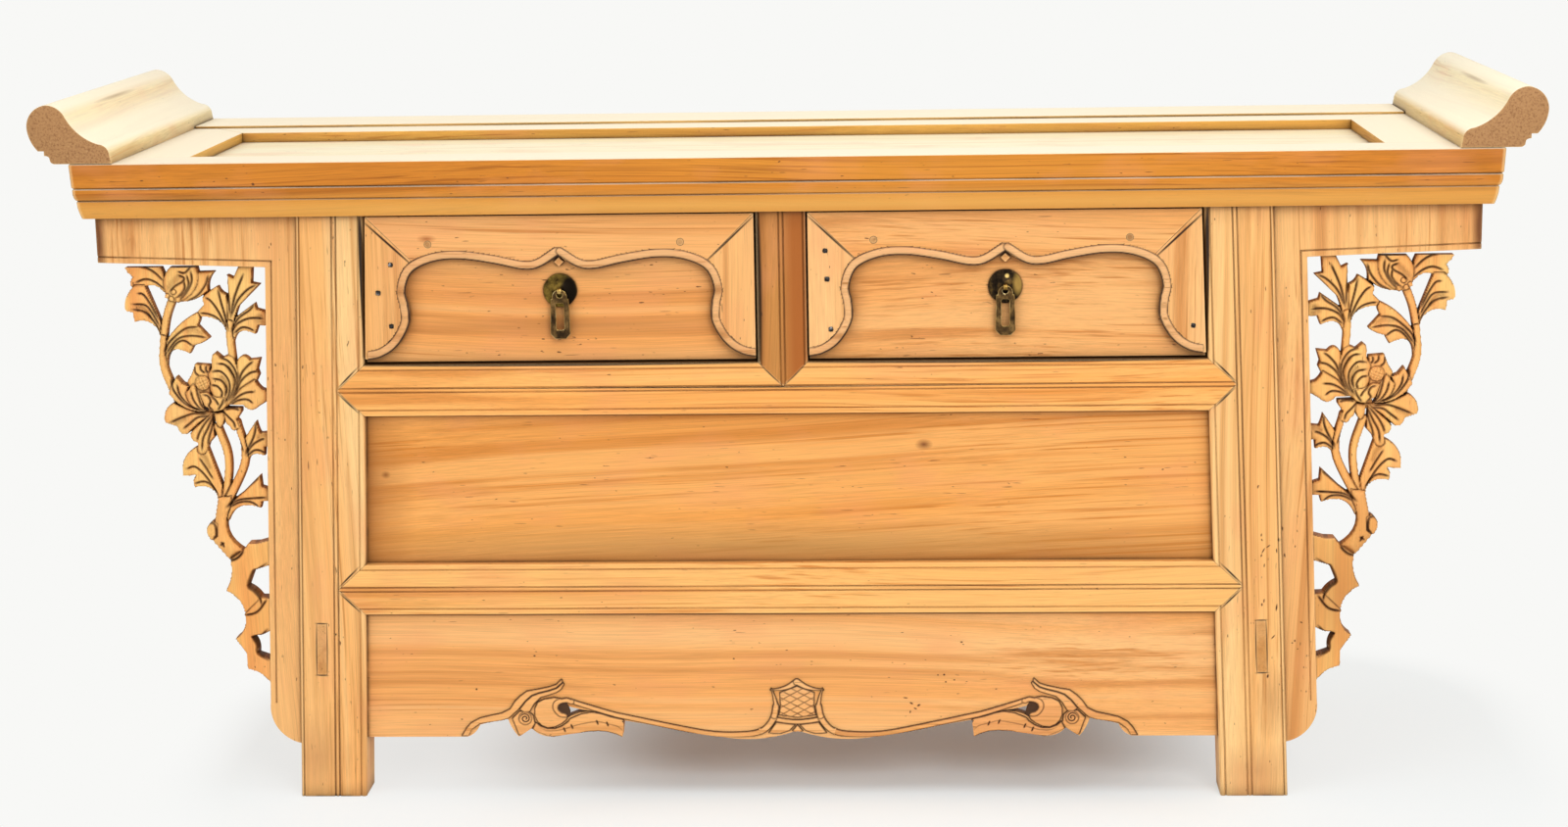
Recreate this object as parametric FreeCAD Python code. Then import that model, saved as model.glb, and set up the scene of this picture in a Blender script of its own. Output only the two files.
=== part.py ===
import FreeCAD
import Part
import math
import os

# Chinese altar coffer with two drawers, everted end flanges, a panelled front over a hidden
# compartment, an apron, and pierced peony spandrels carried by L-shaped brackets.
# Millimetres. X runs along the table, the front faces -Y, and the feet stand on Z = 0.
# The origin is on the floor under the middle of the table.
# Pieces are drawn for the right-hand side (+X) and mirrored to the left.

Vec = FreeCAD.Vector

# The top
TOP_LENGTH = 1610.0
TOP_DEPTH = 480.0
TOP_HEIGHT = 758.0
TOP_THICK = 64.0
FRONT_RAIL_WIDTH = 60.0
BACK_RAIL_WIDTH = 158.0
END_RAIL_WIDTH = 124.0
PANEL_SINK = 12.0            # how far the top panel lies below the frame around it
PANEL_THICK = 14.0
PANEL_TONGUE = 8.0
FRAME_TENON_LENGTH = 40.0
FRAME_TENON_THICK = 18.0
FRAME_TENON_WIDTH = 24.0
BATTEN_WIDTH = 46.0
BATTEN_TONGUE = 10.0

# The moulded edge of the top: a plain band, a step, a rounded member and a lower slope
EDGE_BAND = 30.0
EDGE_BAND_LEAN = 2.0
EDGE_STEP = 3.0
EDGE_ROUND = 15.0
EDGE_ROUND_RUN = 4.0
EDGE_QUIRK = 1.2
EDGE_FOOT_RUN = 4.0
EDGE_ARRIS = 1.5

# The everted flanges
FLANGE_INSET = 50.0          # from the end of the top to the flange's inner foot
FLANGE_WIDTH = 95.0
FLANGE_HEIGHT = 67.0
FLANGE_KEY_WIDTH = 16.0
FLANGE_KEY_DEPTH = 8.0
FLANGE_KEY_STOP = 60.0

# The legs, which lean outwards to the floor
TOP_OVERHANG = 252.0         # from the top of the leg's outer face to the end of the top
LEG_WIDTH = 78.0
LEG_DEPTH = 50.0
LEG_SPLAY = 28.0
LEG_SETBACK = 20.0           # from the edge of the top to the face of the leg
LEG_ARRIS = 2.0
LEG_TENON_WIDTH = 40.0
LEG_TENON_THICK = 14.0
LEG_TENON_HEIGHT = 34.0

# The front rails, mitred into the legs, and the post between the drawers
RAIL_HEIGHT = 60.0
RAIL_DEPTH = 44.0
DRAWER_SPACE = 174.0         # between the middle rail and the top
LOW_RAIL_TOP = 283.0
MITRE_REACH = 32.0           # how far a rail's point runs across the leg
MITRE_DEPTH = 12.0
RAIL_TENON_LENGTH = 34.0
RAIL_TENON_HEIGHT = 36.0
RAIL_TENON_THICK = 14.0
POST_WIDTH = 57.0
POST_TENON = 20.0

# Incised lines and edge beads on the faces of legs and rails
LINE_WIDTH = 2.4
LINE_DEPTH = 1.6
LINE_SPACING = 5.0           # between the two lines down the middle
EDGE_LINE = 6.5              # from an inner edge to its bead's line
OUTER_LINE = 3.5             # from the leg's outer edge to its line

# Panels, back and sides of the carcase
CASE_PANEL_THICK = 12.0
CASE_PANEL_SETBACK = 12.0
CASE_TONGUE = 6.0
SIDE_RAIL_THICK = 28.0
SIDE_RAIL_INSET = 12.0
SIDE_PANEL_INSET = 20.0
SIDE_TENON_THICK = 12.0
SIDE_TENON_LENGTH = 30.0
SIDE_TOP_HEIGHT = 44.0
SIDE_LOW_TOP = 216.0
SIDE_LOW_HEIGHT = 70.0
SIDE_LOW_TENON_HEIGHT = 62.0
SIDE_TENON_SHOULDER = 8.0
FLOOR_THICK = 12.0
FLOOR_DROP = 11.0            # from the top of the low rail to the compartment's floor

# The apron under the low rail
APRON_BOTTOM = 71.0
APRON_THICK = 18.0
APRON_SETBACK = 8.0
APRON_SHIFT = 9.4            # how far right of the middle its shaped edge was set out

# The L-shaped brackets and the carved spandrels in them
BRACKET_STOP = 19.0          # from the bracket's end to the end of the top
BRACKET_THICK = 22.0
BRACKET_SETBACK = 6.0
BRACKET_DROP_END = 53.0
BRACKET_DROP_CORNER = 60.0
BRACKET_ARM = 37.0
BRACKET_BOTTOM = 64.0
BRACKET_ROUND = 50.0
BRACKET_KEY = 8.0
BRACKET_KEY_THICK = 10.0
BRACKET_LINE = 7.0
CARVE_STOP = 30.6            # from the carving's side to the bracket's end
CARVE_FOOT = 132.0           # height of the carving's lowest rock
CARVE_SETBACK = 1.0          # behind the bracket's face
CARVE_BASE = 13.0
CARVE_MIDDLE = 16.0
CARVE_HEART = 19.0

# The drawers
DRAWER_GAP = 2.0
DRAWER_BACK_GAP = 24.0       # from the back of a drawer to the back panel
DRAWER_FRONT_THICK = 20.0
DRAWER_FACE_SETBACK = 8.0    # behind the face of the legs
DRAWER_SIDE_THICK = 12.0
DRAWER_SIDE_DROP = 26.0      # from the top down to a drawer's sides
DRAWER_BACK_THICK = 12.0
DRAWER_BOTTOM_THICK = 8.0
DRAWER_BOTTOM_RISE = 6.0
DRAWER_JOINT = 8.0
DRAWER_GROOVE = 5.0
RUN_GAP = 0.3
RUNNER_HEIGHT = 30.0
RUNNER_WIDTH = 44.0
RUNNER_TENON = 10.0
GUIDE_HEIGHT = 18.0
GUIDE_GAP = 1.0

# The mitred, cusped trim on a drawer front, with its pins
TRIM_THICK = 11.0
TRIM_BEAD = 9.5
TRIM_BEAD_DROP = 1.2
TRIM_MITRE = 72.0
ARCH_TOLERANCE = 0.3         # how near the arcs of the cusped edge keep to its curve
LOZENGE_SIZE = 11.0
LOZENGE_THICK = 6.0
NAIL_SIZE = 4.6
NAIL_LENGTH = 22.0
NAIL_PROUD = 0.4
PLUG_RADIUS = 4.0
PLUG_LENGTH = 7.0

# The pulls
PULL_DROP = 88.0             # from the top of the drawer front to the pull's axis
PLATE_RADIUS = 19.5
PLATE_THICK = 1.4
PLATE_DOME = 2.6
PLATE_RIM = 15.0
PLATE_BOSS = 6.5
EYE_RADIUS = 3.5             # outside of the strap bent round as the staple's eye
EYE_STRAP = 1.2
EYE_WIDTH = 4.6
EYE_PLAY = 0.1               # between the strap and the drop's web inside it
EYE_STAND = 4.5              # from the plate's face to the eye's centre
SHANK_THICK = 2.0
SHANK_HEIGHT = 3.4
CLINCH_LENGTH = 9.0
DROP_LENGTH = 57.0
DROP_THICK = 2.2
DROP_HOLE = 3.3              # radius of the hole that hangs on the staple
HEAD_HALF = 8.2
HEAD_HEIGHT = 10.5
SHOULDER_HALF = 10.2
FOOT_HALF = 11.4
FOOT_CHAMFER = 5.5
SLOT_WIDTH = 9.4
SLOT_LENGTH = 31.0
SLOT_RISE = 10.5             # from the drop's foot to its slot

OVERRUN = 2.0                # how far a cutting shape runs past what it cuts

# Worked out from the sizes above
UNDER_TOP = TOP_HEIGHT - TOP_THICK
EDGE_FRONT = -TOP_DEPTH / 2
FACE = EDGE_FRONT + LEG_SETBACK
LEG_INNER_FACE = FACE + LEG_DEPTH
RAIL_BACK = FACE + RAIL_DEPTH
TOP_HALF = TOP_LENGTH / 2
FLANGE_FOOT = TOP_HALF - FLANGE_INSET
LEG_OUT_TOP = TOP_HALF - TOP_OVERHANG
RECESS_HALF = TOP_HALF - END_RAIL_WIDTH
RECESS_FRONT = EDGE_FRONT + FRONT_RAIL_WIDTH
RECESS_BACK = -EDGE_FRONT - BACK_RAIL_WIDTH
PANEL_TOP = TOP_HEIGHT - PANEL_SINK
PANEL_UNDER = PANEL_TOP - PANEL_THICK
LEAN = LEG_SPLAY / UNDER_TOP
MID_RAIL_TOP = UNDER_TOP - DRAWER_SPACE
FLOOR_TOP = LOW_RAIL_TOP - FLOOR_DROP
PANEL_FACE = FACE + CASE_PANEL_SETBACK
BACK_PANEL_FRONT = -PANEL_FACE - CASE_PANEL_THICK
DRAWER_FACE = FACE + DRAWER_FACE_SETBACK
TRIM_FACE = DRAWER_FACE - TRIM_THICK
POST_HALF = POST_WIDTH / 2
BRACKET_END = TOP_HALF - BRACKET_STOP
CARVE_TOP = UNDER_TOP - BRACKET_DROP_CORNER
CARVE_HEIGHT = CARVE_TOP - CARVE_FOOT
CARVE_EDGE = LEG_OUT_TOP + LEAN * BRACKET_DROP_CORNER + BRACKET_ARM
CARVE_WIDTH = BRACKET_END - CARVE_STOP - CARVE_EDGE

# Shares of a section's width and height, with the bulge of the side that follows each point
FLANGE_SHARES = [
    (0.00, 0.00, 0.00), (0.02, 0.14, -0.20), (0.15, 0.33, 0.10), (0.53, 0.79, -0.14),
    (0.75, 1.00, -0.20), (1.00, 0.62, -0.09), (0.88, 0.22, 0.00), (0.81, 0.22, 0.00),
    (0.81, 0.14, 0.12), (0.75, 0.11, 0.00), (0.74, 0.04, -0.10), (0.69, 0.00, 0.00),
]

# Shares of half the apron's length (from the middle) and of its height (from the rail down)
APRON_SHARES = [
    (0.000, 0.955, 0.00), (0.030, 0.985, -0.06), (0.187, 1.000, 0.03), (0.273, 0.959, 0.01),
    (0.415, 0.868, 0.00), (0.410, 0.890, 0.00), (0.413, 1.000, 0.03), (0.459, 0.955, 0.04),
    (0.537, 0.975, -0.03), (0.579, 1.000, -0.12), (0.629, 0.930, 0.00), (0.659, 1.000, -0.06),
    (0.684, 0.858, 0.00), (0.719, 0.875, 0.00), (0.751, 0.903, -0.12), (0.781, 1.000, 0.00),
]
APRON_HOLE_SHARES = [
    (0.560, 0.735, 0.03), (0.485, 0.795, 0.06), (0.548, 0.852, -0.15), (0.553, 0.790, -0.10),
]

# Shares of half a drawer front's width and of its height, along the trim's cusped edge
ARCH_SHARES = [
    (1.02, 0.968), (0.93, 0.945), (0.847, 0.870), (0.785, 0.730), (0.785, 0.600),
    (0.797, 0.500), (0.755, 0.370), (0.640, 0.300), (0.501, 0.286), (0.330, 0.318),
    (0.186, 0.358), (0.100, 0.345), (0.000, 0.265),
]
LOZENGE_DROP_SHARE = 0.32
LEFT_NAIL_SHARES = [(0.069, 0.326), (0.034, 0.516), (0.065, 0.744)]
RIGHT_NAIL_SHARES = [(0.044, 0.260), (0.048, 0.450), (0.056, 0.790), (0.974, 0.785)]
PLUG_SHARES = [(0.167, 0.190), (0.813, 0.190)]

# The spandrel's pieces as outlines, in shares out from the bracket's arm and down from its
# corner, with the bulge of the side that follows each point
LEAF_SHARES = [
    # The two leaves beside the bud, from the outside in
    [(0.707, 0.075, 0.09), (0.793, -0.02, 0.00), (1.031, -0.02, 0.12), (0.963, 0.022, 0.34),
     (0.923, 0.054, -0.29)],
    [(0.770, 0.175, 0.00), (0.760, 0.129, 0.00), (0.874, 0.040, 0.00), (0.944, 0.040, 0.14),
     (1.014, 0.101, 0.00), (0.966, 0.106, 0.00), (0.956, 0.127, -0.29)],
    [(0.637, 0.082, 0.00), (0.507, 0.012, 0.00), (0.371, 0.011, 0.13), (0.419, 0.055, -0.11)],
    # The leaf under the bud
    [(0.751, 0.212, 0.00), (0.727, 0.171, -0.08), (0.492, 0.104, -0.14), (0.500, 0.136, 0.00),
     (0.414, 0.166, -0.07), (0.528, 0.183, 0.00), (0.560, 0.203, 0.44), (0.724, 0.235, 0.00)],
    # The three leaves above the peony
    [(0.256, 0.165, 0.00), (0.290, 0.065, -0.13), (0.352, 0.044, 0.04), (0.469, 0.072, 0.00),
     (0.456, 0.089, 0.00), (0.499, 0.104, 0.00), (0.478, 0.117, -0.29), (0.299, 0.181, 0.00)],
    [(0.284, 0.149, 0.00), (0.284, 0.024, 0.00), (0.298, 0.017, 0.00), (0.242, 0.026, 0.00),
     (0.178, -0.02, 0.00), (0.101, -0.02, 0.00), (0.110, 0.038, 0.00), (0.051, 0.042, 0.00),
     (0.204, 0.092, 0.05), (0.241, 0.149, 0.00)],
    [(0.270, 0.158, 0.00), (0.226, 0.117, 0.00), (0.091, 0.085, 0.00), (0.078, 0.099, 0.00),
     (-0.03, 0.109, 0.00), (-0.03, 0.139, 0.00), (0.066, 0.138, 0.00), (0.088, 0.159, 0.37),
     (0.250, 0.186, 0.00)],
    # The three leaves below the peony
    [(0.199, 0.449, 0.00), (0.172, 0.400, 0.00), (0.093, 0.361, 0.03), (0.063, 0.390, 0.00),
     (-0.03, 0.387, 0.00), (-0.03, 0.422, 0.00), (0.029, 0.424, 0.00), (0.033, 0.445, 0.37),
     (0.158, 0.472, 0.00)],
    [(0.375, 0.565, 0.32), (0.543, 0.519, -0.16), (0.535, 0.490, 0.00), (0.627, 0.492, -0.19),
     (0.517, 0.420, 0.00), (0.446, 0.420, 0.00), (0.337, 0.516, 0.00), (0.346, 0.551, 0.00)],
    [(0.326, 0.563, 0.00), (0.196, 0.531, 0.00), (0.067, 0.489, 0.00), (0.057, 0.517, 0.00),
     (-0.03, 0.526, 0.00), (-0.03, 0.553, 0.00), (0.055, 0.554, 0.00), (0.067, 0.570, 0.27),
     (0.306, 0.603, 0.00)],
]
CARVE_TALL_SHARE = 3.08      # height for width, in which the bulges are drawn
BUD_SHARES = [(0.700, 0.077, -0.24), (0.618, -0.02, 0.00), (0.526, -0.02, -0.26),
              (0.631, 0.083, 0.00)]
OUTER_PETAL_SHARES = [
    [(0.404, 0.310, 0.00), (0.537, 0.300, 0.00), (0.585, 0.268, 0.00), (0.549, 0.249, 0.00),
     (0.527, 0.226, 0.00), (0.414, 0.229, 0.00)],
    [(0.285, 0.324, 0.00), (0.224, 0.220, -0.36), (0.132, 0.217, 0.00), (0.055, 0.214, 0.00),
     (0.077, 0.241, 0.00), (0.064, 0.253, 0.00), (0.085, 0.268, 0.11)],
    [(0.306, 0.324, 0.00), (0.192, 0.282, 0.00), (0.095, 0.262, 0.09), (0.044, 0.286, 0.00),
     (-0.03, 0.292, 0.00), (-0.03, 0.318, 0.00), (0.017, 0.317, 0.00), (0.067, 0.327, -0.27),
     (0.180, 0.325, 0.00)],
    [(0.371, 0.340, 0.00), (0.519, 0.339, 0.00), (0.680, 0.316, 0.19), (0.750, 0.364, 0.00),
     (0.662, 0.374, 0.42), (0.550, 0.381, -0.05)],
    [(0.406, 0.340, 0.00), (0.542, 0.379, 0.27), (0.544, 0.409, 0.00), (0.516, 0.413, 0.00),
     (0.517, 0.432, 0.40), (0.446, 0.430, 0.00), (0.431, 0.414, 0.00), (0.388, 0.398, 0.00),
     (0.400, 0.360, 0.00)],
    [(0.335, 0.328, 0.00), (0.194, 0.330, 0.00), (0.194, 0.340, 0.00), (0.230, 0.358, 0.00),
     (0.210, 0.377, 0.00), (0.253, 0.386, 0.00), (0.315, 0.363, 0.00)],
    [(0.392, 0.342, 0.00), (0.386, 0.360, 0.71), (0.316, 0.360, 0.00), (0.321, 0.337, 0.00)],
]
INNER_PETAL_SHARES = [
    [(0.363, 0.335, 0.00), (0.417, 0.286, 0.00), (0.429, 0.252, 0.00), (0.404, 0.234, 0.00),
     (0.402, 0.206, 0.00), (0.377, 0.199, 0.00), (0.329, 0.212, -0.29), (0.231, 0.220, -0.14),
     (0.292, 0.326, 0.00)],
    [(0.434, 0.339, -0.14), (0.717, 0.293, 0.00), (0.659, 0.254, 0.00), (0.614, 0.271, 0.00),
     (0.565, 0.277, 0.27), (0.483, 0.330, 0.00)],
    [(0.441, 0.339, -0.18), (0.590, 0.293, 0.00), (0.536, 0.271, -0.10), (0.455, 0.332, 0.00)],
]
CURL_SHARES = [(0.385, 0.338, 0.00), (0.455, 0.323, 0.00), (0.488, 0.294, -0.19),
               (0.404, 0.298, 0.00), (0.362, 0.303, 0.00), (0.305, 0.304, -0.26),
               (0.335, 0.335, 0.00)]
SEED_PLACE = (0.466, 0.270)
SEED_SIZE_SHARE = 0.054
TRUNK_SHARES = [(0.374, 0.542, 0.00), (0.402, 0.598, 0.00), (0.422, 0.645, 0.00),
                (0.297, 0.693, 0.00), (0.181, 0.670, -0.23), (0.283, 0.566, 0.00),
                (0.275, 0.538, 0.00)]
KNOB_SHARES = [(0.413, 0.597, 0.29), (0.422, 0.645, 0.00), (0.379, 0.634, 0.00),
               (0.378, 0.605, 0.00)]
ROCK_SHARES = [
    [(0.289, 0.690, -0.11), (0.321, 0.764, -0.15), (0.181, 0.826, 0.13), (0.044, 0.793, 0.10),
     (0.157, 0.754, 0.00), (0.116, 0.717, 0.00), (-0.03, 0.700, 0.00), (-0.03, 0.639, 0.00),
     (0.081, 0.649, 0.00), (0.152, 0.650, 0.00), (0.196, 0.669, 0.00)],
    [(0.060, 0.780, 0.00), (-0.03, 0.781, 0.00), (-0.03, 0.857, 0.00), (0.062, 0.873, 0.00),
     (0.134, 0.876, -0.12), (0.092, 0.919, 0.00), (-0.03, 0.933, 0.00), (-0.03, 1.010, 0.15),
     (0.169, 0.955, 0.00), (0.178, 0.916, 0.00), (0.256, 0.880, 0.18), (0.188, 0.821, 0.00)],
]
# Stems: start, a place on the way, end, and the widths at the two ends as shares of the width
STEMS = [
    ((0.665, 0.060), (0.727, 0.118), (0.753, 0.180), 0.060, 0.048),
    ((0.751, 0.164), (0.752, 0.233), (0.658, 0.307), 0.048, 0.061),
    ((0.272, 0.131), (0.271, 0.177), (0.253, 0.232), 0.054, 0.052),
    ((0.373, 0.374), (0.299, 0.453), (0.325, 0.560), 0.052, 0.056),
    ((0.231, 0.365), (0.178, 0.454), (0.318, 0.560), 0.044, 0.067),
]


# Drawing helpers

def leg_out(z):
    """Outer face of the right-hand legs at height z."""
    return LEG_OUT_TOP + LEAN * (UNDER_TOP - z)


def leg_in(z):
    """Inner face of the right-hand legs at height z."""
    return leg_out(z) - LEG_WIDTH


def block(x0, x1, y0, y1, z0, z1):
    return Part.makeBox(x1 - x0, y1 - y0, z1 - z0, Vec(x0, y0, z0))


def slab(points, y0, y1):
    """A plate with straight sides, drawn as (x, z) points and running from y0 to y1."""
    ring = [Vec(x, y0, z) for x, z in points]
    return Part.Face(Part.makePolygon(ring + ring[:1])).extrude(Vec(0, y1 - y0, 0))


def bar(points, x0, x1):
    """A bar along X with the (y, z) section given."""
    ring = [Vec(x0, y, z) for y, z in points]
    return Part.Face(Part.makePolygon(ring + ring[:1])).extrude(Vec(x1 - x0, 0, 0))


def bulged_face(points, y):
    """A face in the plane y whose sides are lines, or arcs that bulge by a share of their chord."""
    edges = []
    for (x0, z0, bulge), (x1, z1, _) in zip(points, points[1:] + points[:1]):
        start, end = Vec(x0, y, z0), Vec(x1, y, z1)
        if abs(bulge) > 0:
            middle = (start + end) / 2 + Vec(z0 - z1, 0, x1 - x0) * bulge
            edges.append(Part.Arc(start, middle, end).toShape())
        else:
            edges.append(Part.LineSegment(start, end).toShape())
    return Part.Face(Part.Wire(edges))


def bulged_slab(points, y0, y1):
    return bulged_face(points, y0).extrude(Vec(0, y1 - y0, 0))


def mirrored(shape):
    return shape.mirror(Vec(0, 0, 0), Vec(1, 0, 0))


def leaning(inset_outer, inset_inner, z0, z1, y0, y1):
    """A plate that follows the lean of the right-hand leg, set in from its outer face."""
    points = [(leg_out(z0) - inset_outer, z0), (leg_out(z1) - inset_outer, z1),
              (leg_out(z1) - inset_inner, z1), (leg_out(z0) - inset_inner, z0)]
    return slab(points, y0, y1)


def rail_line(z, half_length):
    """The cutter for an incised line along X on the front face."""
    half = LINE_WIDTH / 2
    section = [(FACE - OVERRUN, z - half), (FACE, z - half), (FACE + LINE_DEPTH, z),
               (FACE, z + half), (FACE - OVERRUN, z + half)]
    return bar(section, -half_length, half_length)


def leg_line(inset):
    """The cutter for an incised line down the face of the right-hand front leg."""
    x = leg_out(0) - inset
    half = LINE_WIDTH / 2
    ring = [Vec(x - half, FACE - OVERRUN, 0), Vec(x - half, FACE, 0), Vec(x, FACE + LINE_DEPTH, 0),
            Vec(x + half, FACE, 0), Vec(x + half, FACE - OVERRUN, 0)]
    return Part.Face(Part.makePolygon(ring + ring[:1])).extrude(Vec(-LEG_SPLAY, 0, UNDER_TOP))


# The top

def edge_cutter(distance, half_length):
    """What is cut away below one moulded edge that lies at -distance along Y."""
    def at(inward, down):
        return Vec(-half_length, inward - distance, TOP_HEIGHT - down)
    round_top = EDGE_BAND_LEAN + EDGE_STEP
    round_foot = round_top + EDGE_ROUND_RUN
    round_down = EDGE_BAND + EDGE_ROUND
    foot = round_foot + EDGE_QUIRK + EDGE_FOOT_RUN
    lines = [at(-OVERRUN, -OVERRUN), at(EDGE_ARRIS, -OVERRUN), at(EDGE_ARRIS, 0), at(0, EDGE_ARRIS),
             at(EDGE_BAND_LEAN, EDGE_BAND), at(round_top, EDGE_BAND)]
    edges = [Part.LineSegment(a, b).toShape() for a, b in zip(lines, lines[1:])]
    round_end = at(round_foot, round_down)
    round_mid = at(round_top + EDGE_ROUND_RUN / 4, EDGE_BAND + EDGE_ROUND / 2)
    slope_start = at(round_foot + EDGE_QUIRK, round_down)
    slope_end = at(foot, TOP_THICK)
    slope_mid = at(foot - EDGE_FOOT_RUN * 3 / 4, (round_down + TOP_THICK) / 2)
    edges.append(Part.Arc(lines[-1], round_mid, round_end).toShape())
    edges.append(Part.LineSegment(round_end, slope_start).toShape())
    edges.append(Part.Arc(slope_start, slope_mid, slope_end).toShape())
    tail = [slope_end, at(foot, TOP_THICK + OVERRUN), at(-OVERRUN, TOP_THICK + OVERRUN), lines[0]]
    edges += [Part.LineSegment(a, b).toShape() for a, b in zip(tail, tail[1:])]
    return Part.Face(Part.Wire(edges)).extrude(Vec(2 * half_length, 0, 0))


def make_top_frame():
    """Four frame members cut from one moulded slab, grooved for the panel between them."""
    whole = block(-TOP_HALF, TOP_HALF, EDGE_FRONT, -EDGE_FRONT, UNDER_TOP, TOP_HEIGHT)
    long_cut = edge_cutter(-EDGE_FRONT, TOP_HALF + OVERRUN)
    end_cut = edge_cutter(TOP_HALF, -EDGE_FRONT + OVERRUN)
    axis = Vec(0, 0, 1)
    for cutter, turn in ((long_cut, 0), (end_cut, 90), (long_cut, 180), (end_cut, 270)):
        tool = cutter.copy()
        tool.rotate(Vec(0, 0, 0), axis, turn)
        whole = whole.cut(tool)
    whole = whole.cut(block(-RECESS_HALF, RECESS_HALF, RECESS_FRONT, RECESS_BACK,
                            UNDER_TOP - OVERRUN, TOP_HEIGHT + OVERRUN))
    panel = block(-RECESS_HALF - PANEL_TONGUE, RECESS_HALF + PANEL_TONGUE,
                  RECESS_FRONT - PANEL_TONGUE, RECESS_BACK + PANEL_TONGUE, PANEL_UNDER, PANEL_TOP)
    whole = whole.cut(panel)

    def region(points):
        ring = [Vec(x, y, UNDER_TOP) for x, y in points]
        return Part.Face(Part.makePolygon(ring + ring[:1])).extrude(Vec(0, 0, TOP_THICK))

    half, front, back = TOP_HALF, EDGE_FRONT, -EDGE_FRONT
    front_mitre = half - FRONT_RAIL_WIDTH
    front_rail = whole.common(region([(-half, front), (half, front), (front_mitre, RECESS_FRONT),
                                      (-front_mitre, RECESS_FRONT)]))
    back_rail = whole.common(region([(-half, back), (half, back), (RECESS_HALF, RECESS_BACK),
                                     (-RECESS_HALF, RECESS_BACK)]))
    end_rail = whole.common(region([(half, front), (half, back), (RECESS_HALF, RECESS_BACK),
                                    (RECESS_HALF, RECESS_FRONT), (front_mitre, RECESS_FRONT)]))
    tenon_x = (RECESS_HALF + front_mitre) / 2
    tenon_z = UNDER_TOP + (PANEL_UNDER - UNDER_TOP) / 2
    for y, along in ((RECESS_FRONT, -1), (RECESS_BACK, 1)):
        reach = sorted((y, y + along * FRAME_TENON_LENGTH))
        tenon = block(tenon_x - FRAME_TENON_WIDTH / 2, tenon_x + FRAME_TENON_WIDTH / 2,
                      reach[0], reach[1],
                      tenon_z - FRAME_TENON_THICK / 2, tenon_z + FRAME_TENON_THICK / 2)
        end_rail = end_rail.fuse(tenon)
    end_rail = end_rail.removeSplitter()
    for tool in (end_rail, mirrored(end_rail)):
        front_rail = front_rail.cut(tool)
        back_rail = back_rail.cut(tool)
    return front_rail, back_rail, end_rail, panel


def make_batten(x):
    """A cross batten under the top panel, tongued into the two long rails."""
    z_tongue = (PANEL_UNDER - UNDER_TOP) / 3
    body = block(x - BATTEN_WIDTH / 2, x + BATTEN_WIDTH / 2, RECESS_FRONT, RECESS_BACK,
                 UNDER_TOP, PANEL_UNDER)
    tongue = block(x - BATTEN_WIDTH / 2, x + BATTEN_WIDTH / 2,
                   RECESS_FRONT - BATTEN_TONGUE, RECESS_BACK + BATTEN_TONGUE,
                   UNDER_TOP + z_tongue, PANEL_UNDER - z_tongue)
    return body.fuse(tongue).removeSplitter()


def make_flange():
    """The everted end flange, a scroll in section, keyed into the end rail."""
    points = [(FLANGE_FOOT + u * FLANGE_WIDTH, TOP_HEIGHT + w * FLANGE_HEIGHT, -bulge)
              for u, w, bulge in FLANGE_SHARES]
    scroll = bulged_slab(points, EDGE_FRONT, -EDGE_FRONT)
    key_x = FLANGE_FOOT + (TOP_HALF - FLANGE_FOOT) / 2
    key = block(key_x - FLANGE_KEY_WIDTH / 2, key_x + FLANGE_KEY_WIDTH / 2,
                EDGE_FRONT + FLANGE_KEY_STOP, -EDGE_FRONT - FLANGE_KEY_STOP,
                TOP_HEIGHT - FLANGE_KEY_DEPTH, TOP_HEIGHT)
    return scroll.fuse(key).removeSplitter()


# The carcase

def make_leg():
    """A leaning front leg with softened arrises and a tenon into the top, not yet lined."""
    outer, inner = leg_out(0), leg_in(0)
    y0, y1, a = FACE, LEG_INNER_FACE, LEG_ARRIS
    ring = [Vec(inner + a, y0, 0), Vec(outer - a, y0, 0), Vec(outer, y0 + a, 0), Vec(outer, y1, 0),
            Vec(inner, y1, 0), Vec(inner, y0 + a, 0)]
    leg = Part.Face(Part.makePolygon(ring + ring[:1])).extrude(Vec(-LEG_SPLAY, 0, UNDER_TOP))
    x = (leg_out(UNDER_TOP) + leg_in(UNDER_TOP)) / 2
    tenon_front = FACE + (RECESS_FRONT - FACE - LEG_TENON_THICK) / 2
    tenon = block(x - LEG_TENON_WIDTH / 2, x + LEG_TENON_WIDTH / 2, tenon_front,
                  tenon_front + LEG_TENON_THICK, UNDER_TOP, UNDER_TOP + LEG_TENON_HEIGHT)
    return leg.fuse(tenon).removeSplitter()


def leg_lines():
    middle = LEG_WIDTH - MITRE_REACH - LINE_SPACING / 2
    return [leg_line(inset) for inset in (OUTER_LINE, middle - LINE_SPACING / 2,
                                          middle + LINE_SPACING / 2, LEG_WIDTH - EDGE_LINE)]


def make_front_rail(top):
    """A rail with pointed, mitred ends on its face, tenoned into the legs behind them."""
    bottom = top - RAIL_HEIGHT
    middle = (top + bottom) / 2
    point = leg_in(middle) + MITRE_REACH
    face = slab([(-point, middle), (-leg_in(top), top), (leg_in(top), top), (point, middle),
                 (leg_in(bottom), bottom), (-leg_in(bottom), bottom)], FACE, FACE + MITRE_DEPTH)
    body = slab([(-leg_in(top), top), (leg_in(top), top), (leg_in(bottom), bottom),
                 (-leg_in(bottom), bottom)], FACE + MITRE_DEPTH, RAIL_BACK)
    reach = leg_in(middle) + RAIL_TENON_LENGTH
    tenon_y = (FACE + MITRE_DEPTH + RAIL_BACK) / 2
    tenon = block(-reach, reach, tenon_y - RAIL_TENON_THICK / 2, tenon_y + RAIL_TENON_THICK / 2,
                  middle - RAIL_TENON_HEIGHT / 2, middle + RAIL_TENON_HEIGHT / 2)
    return face.fuse([body, tenon]).removeSplitter()


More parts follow.
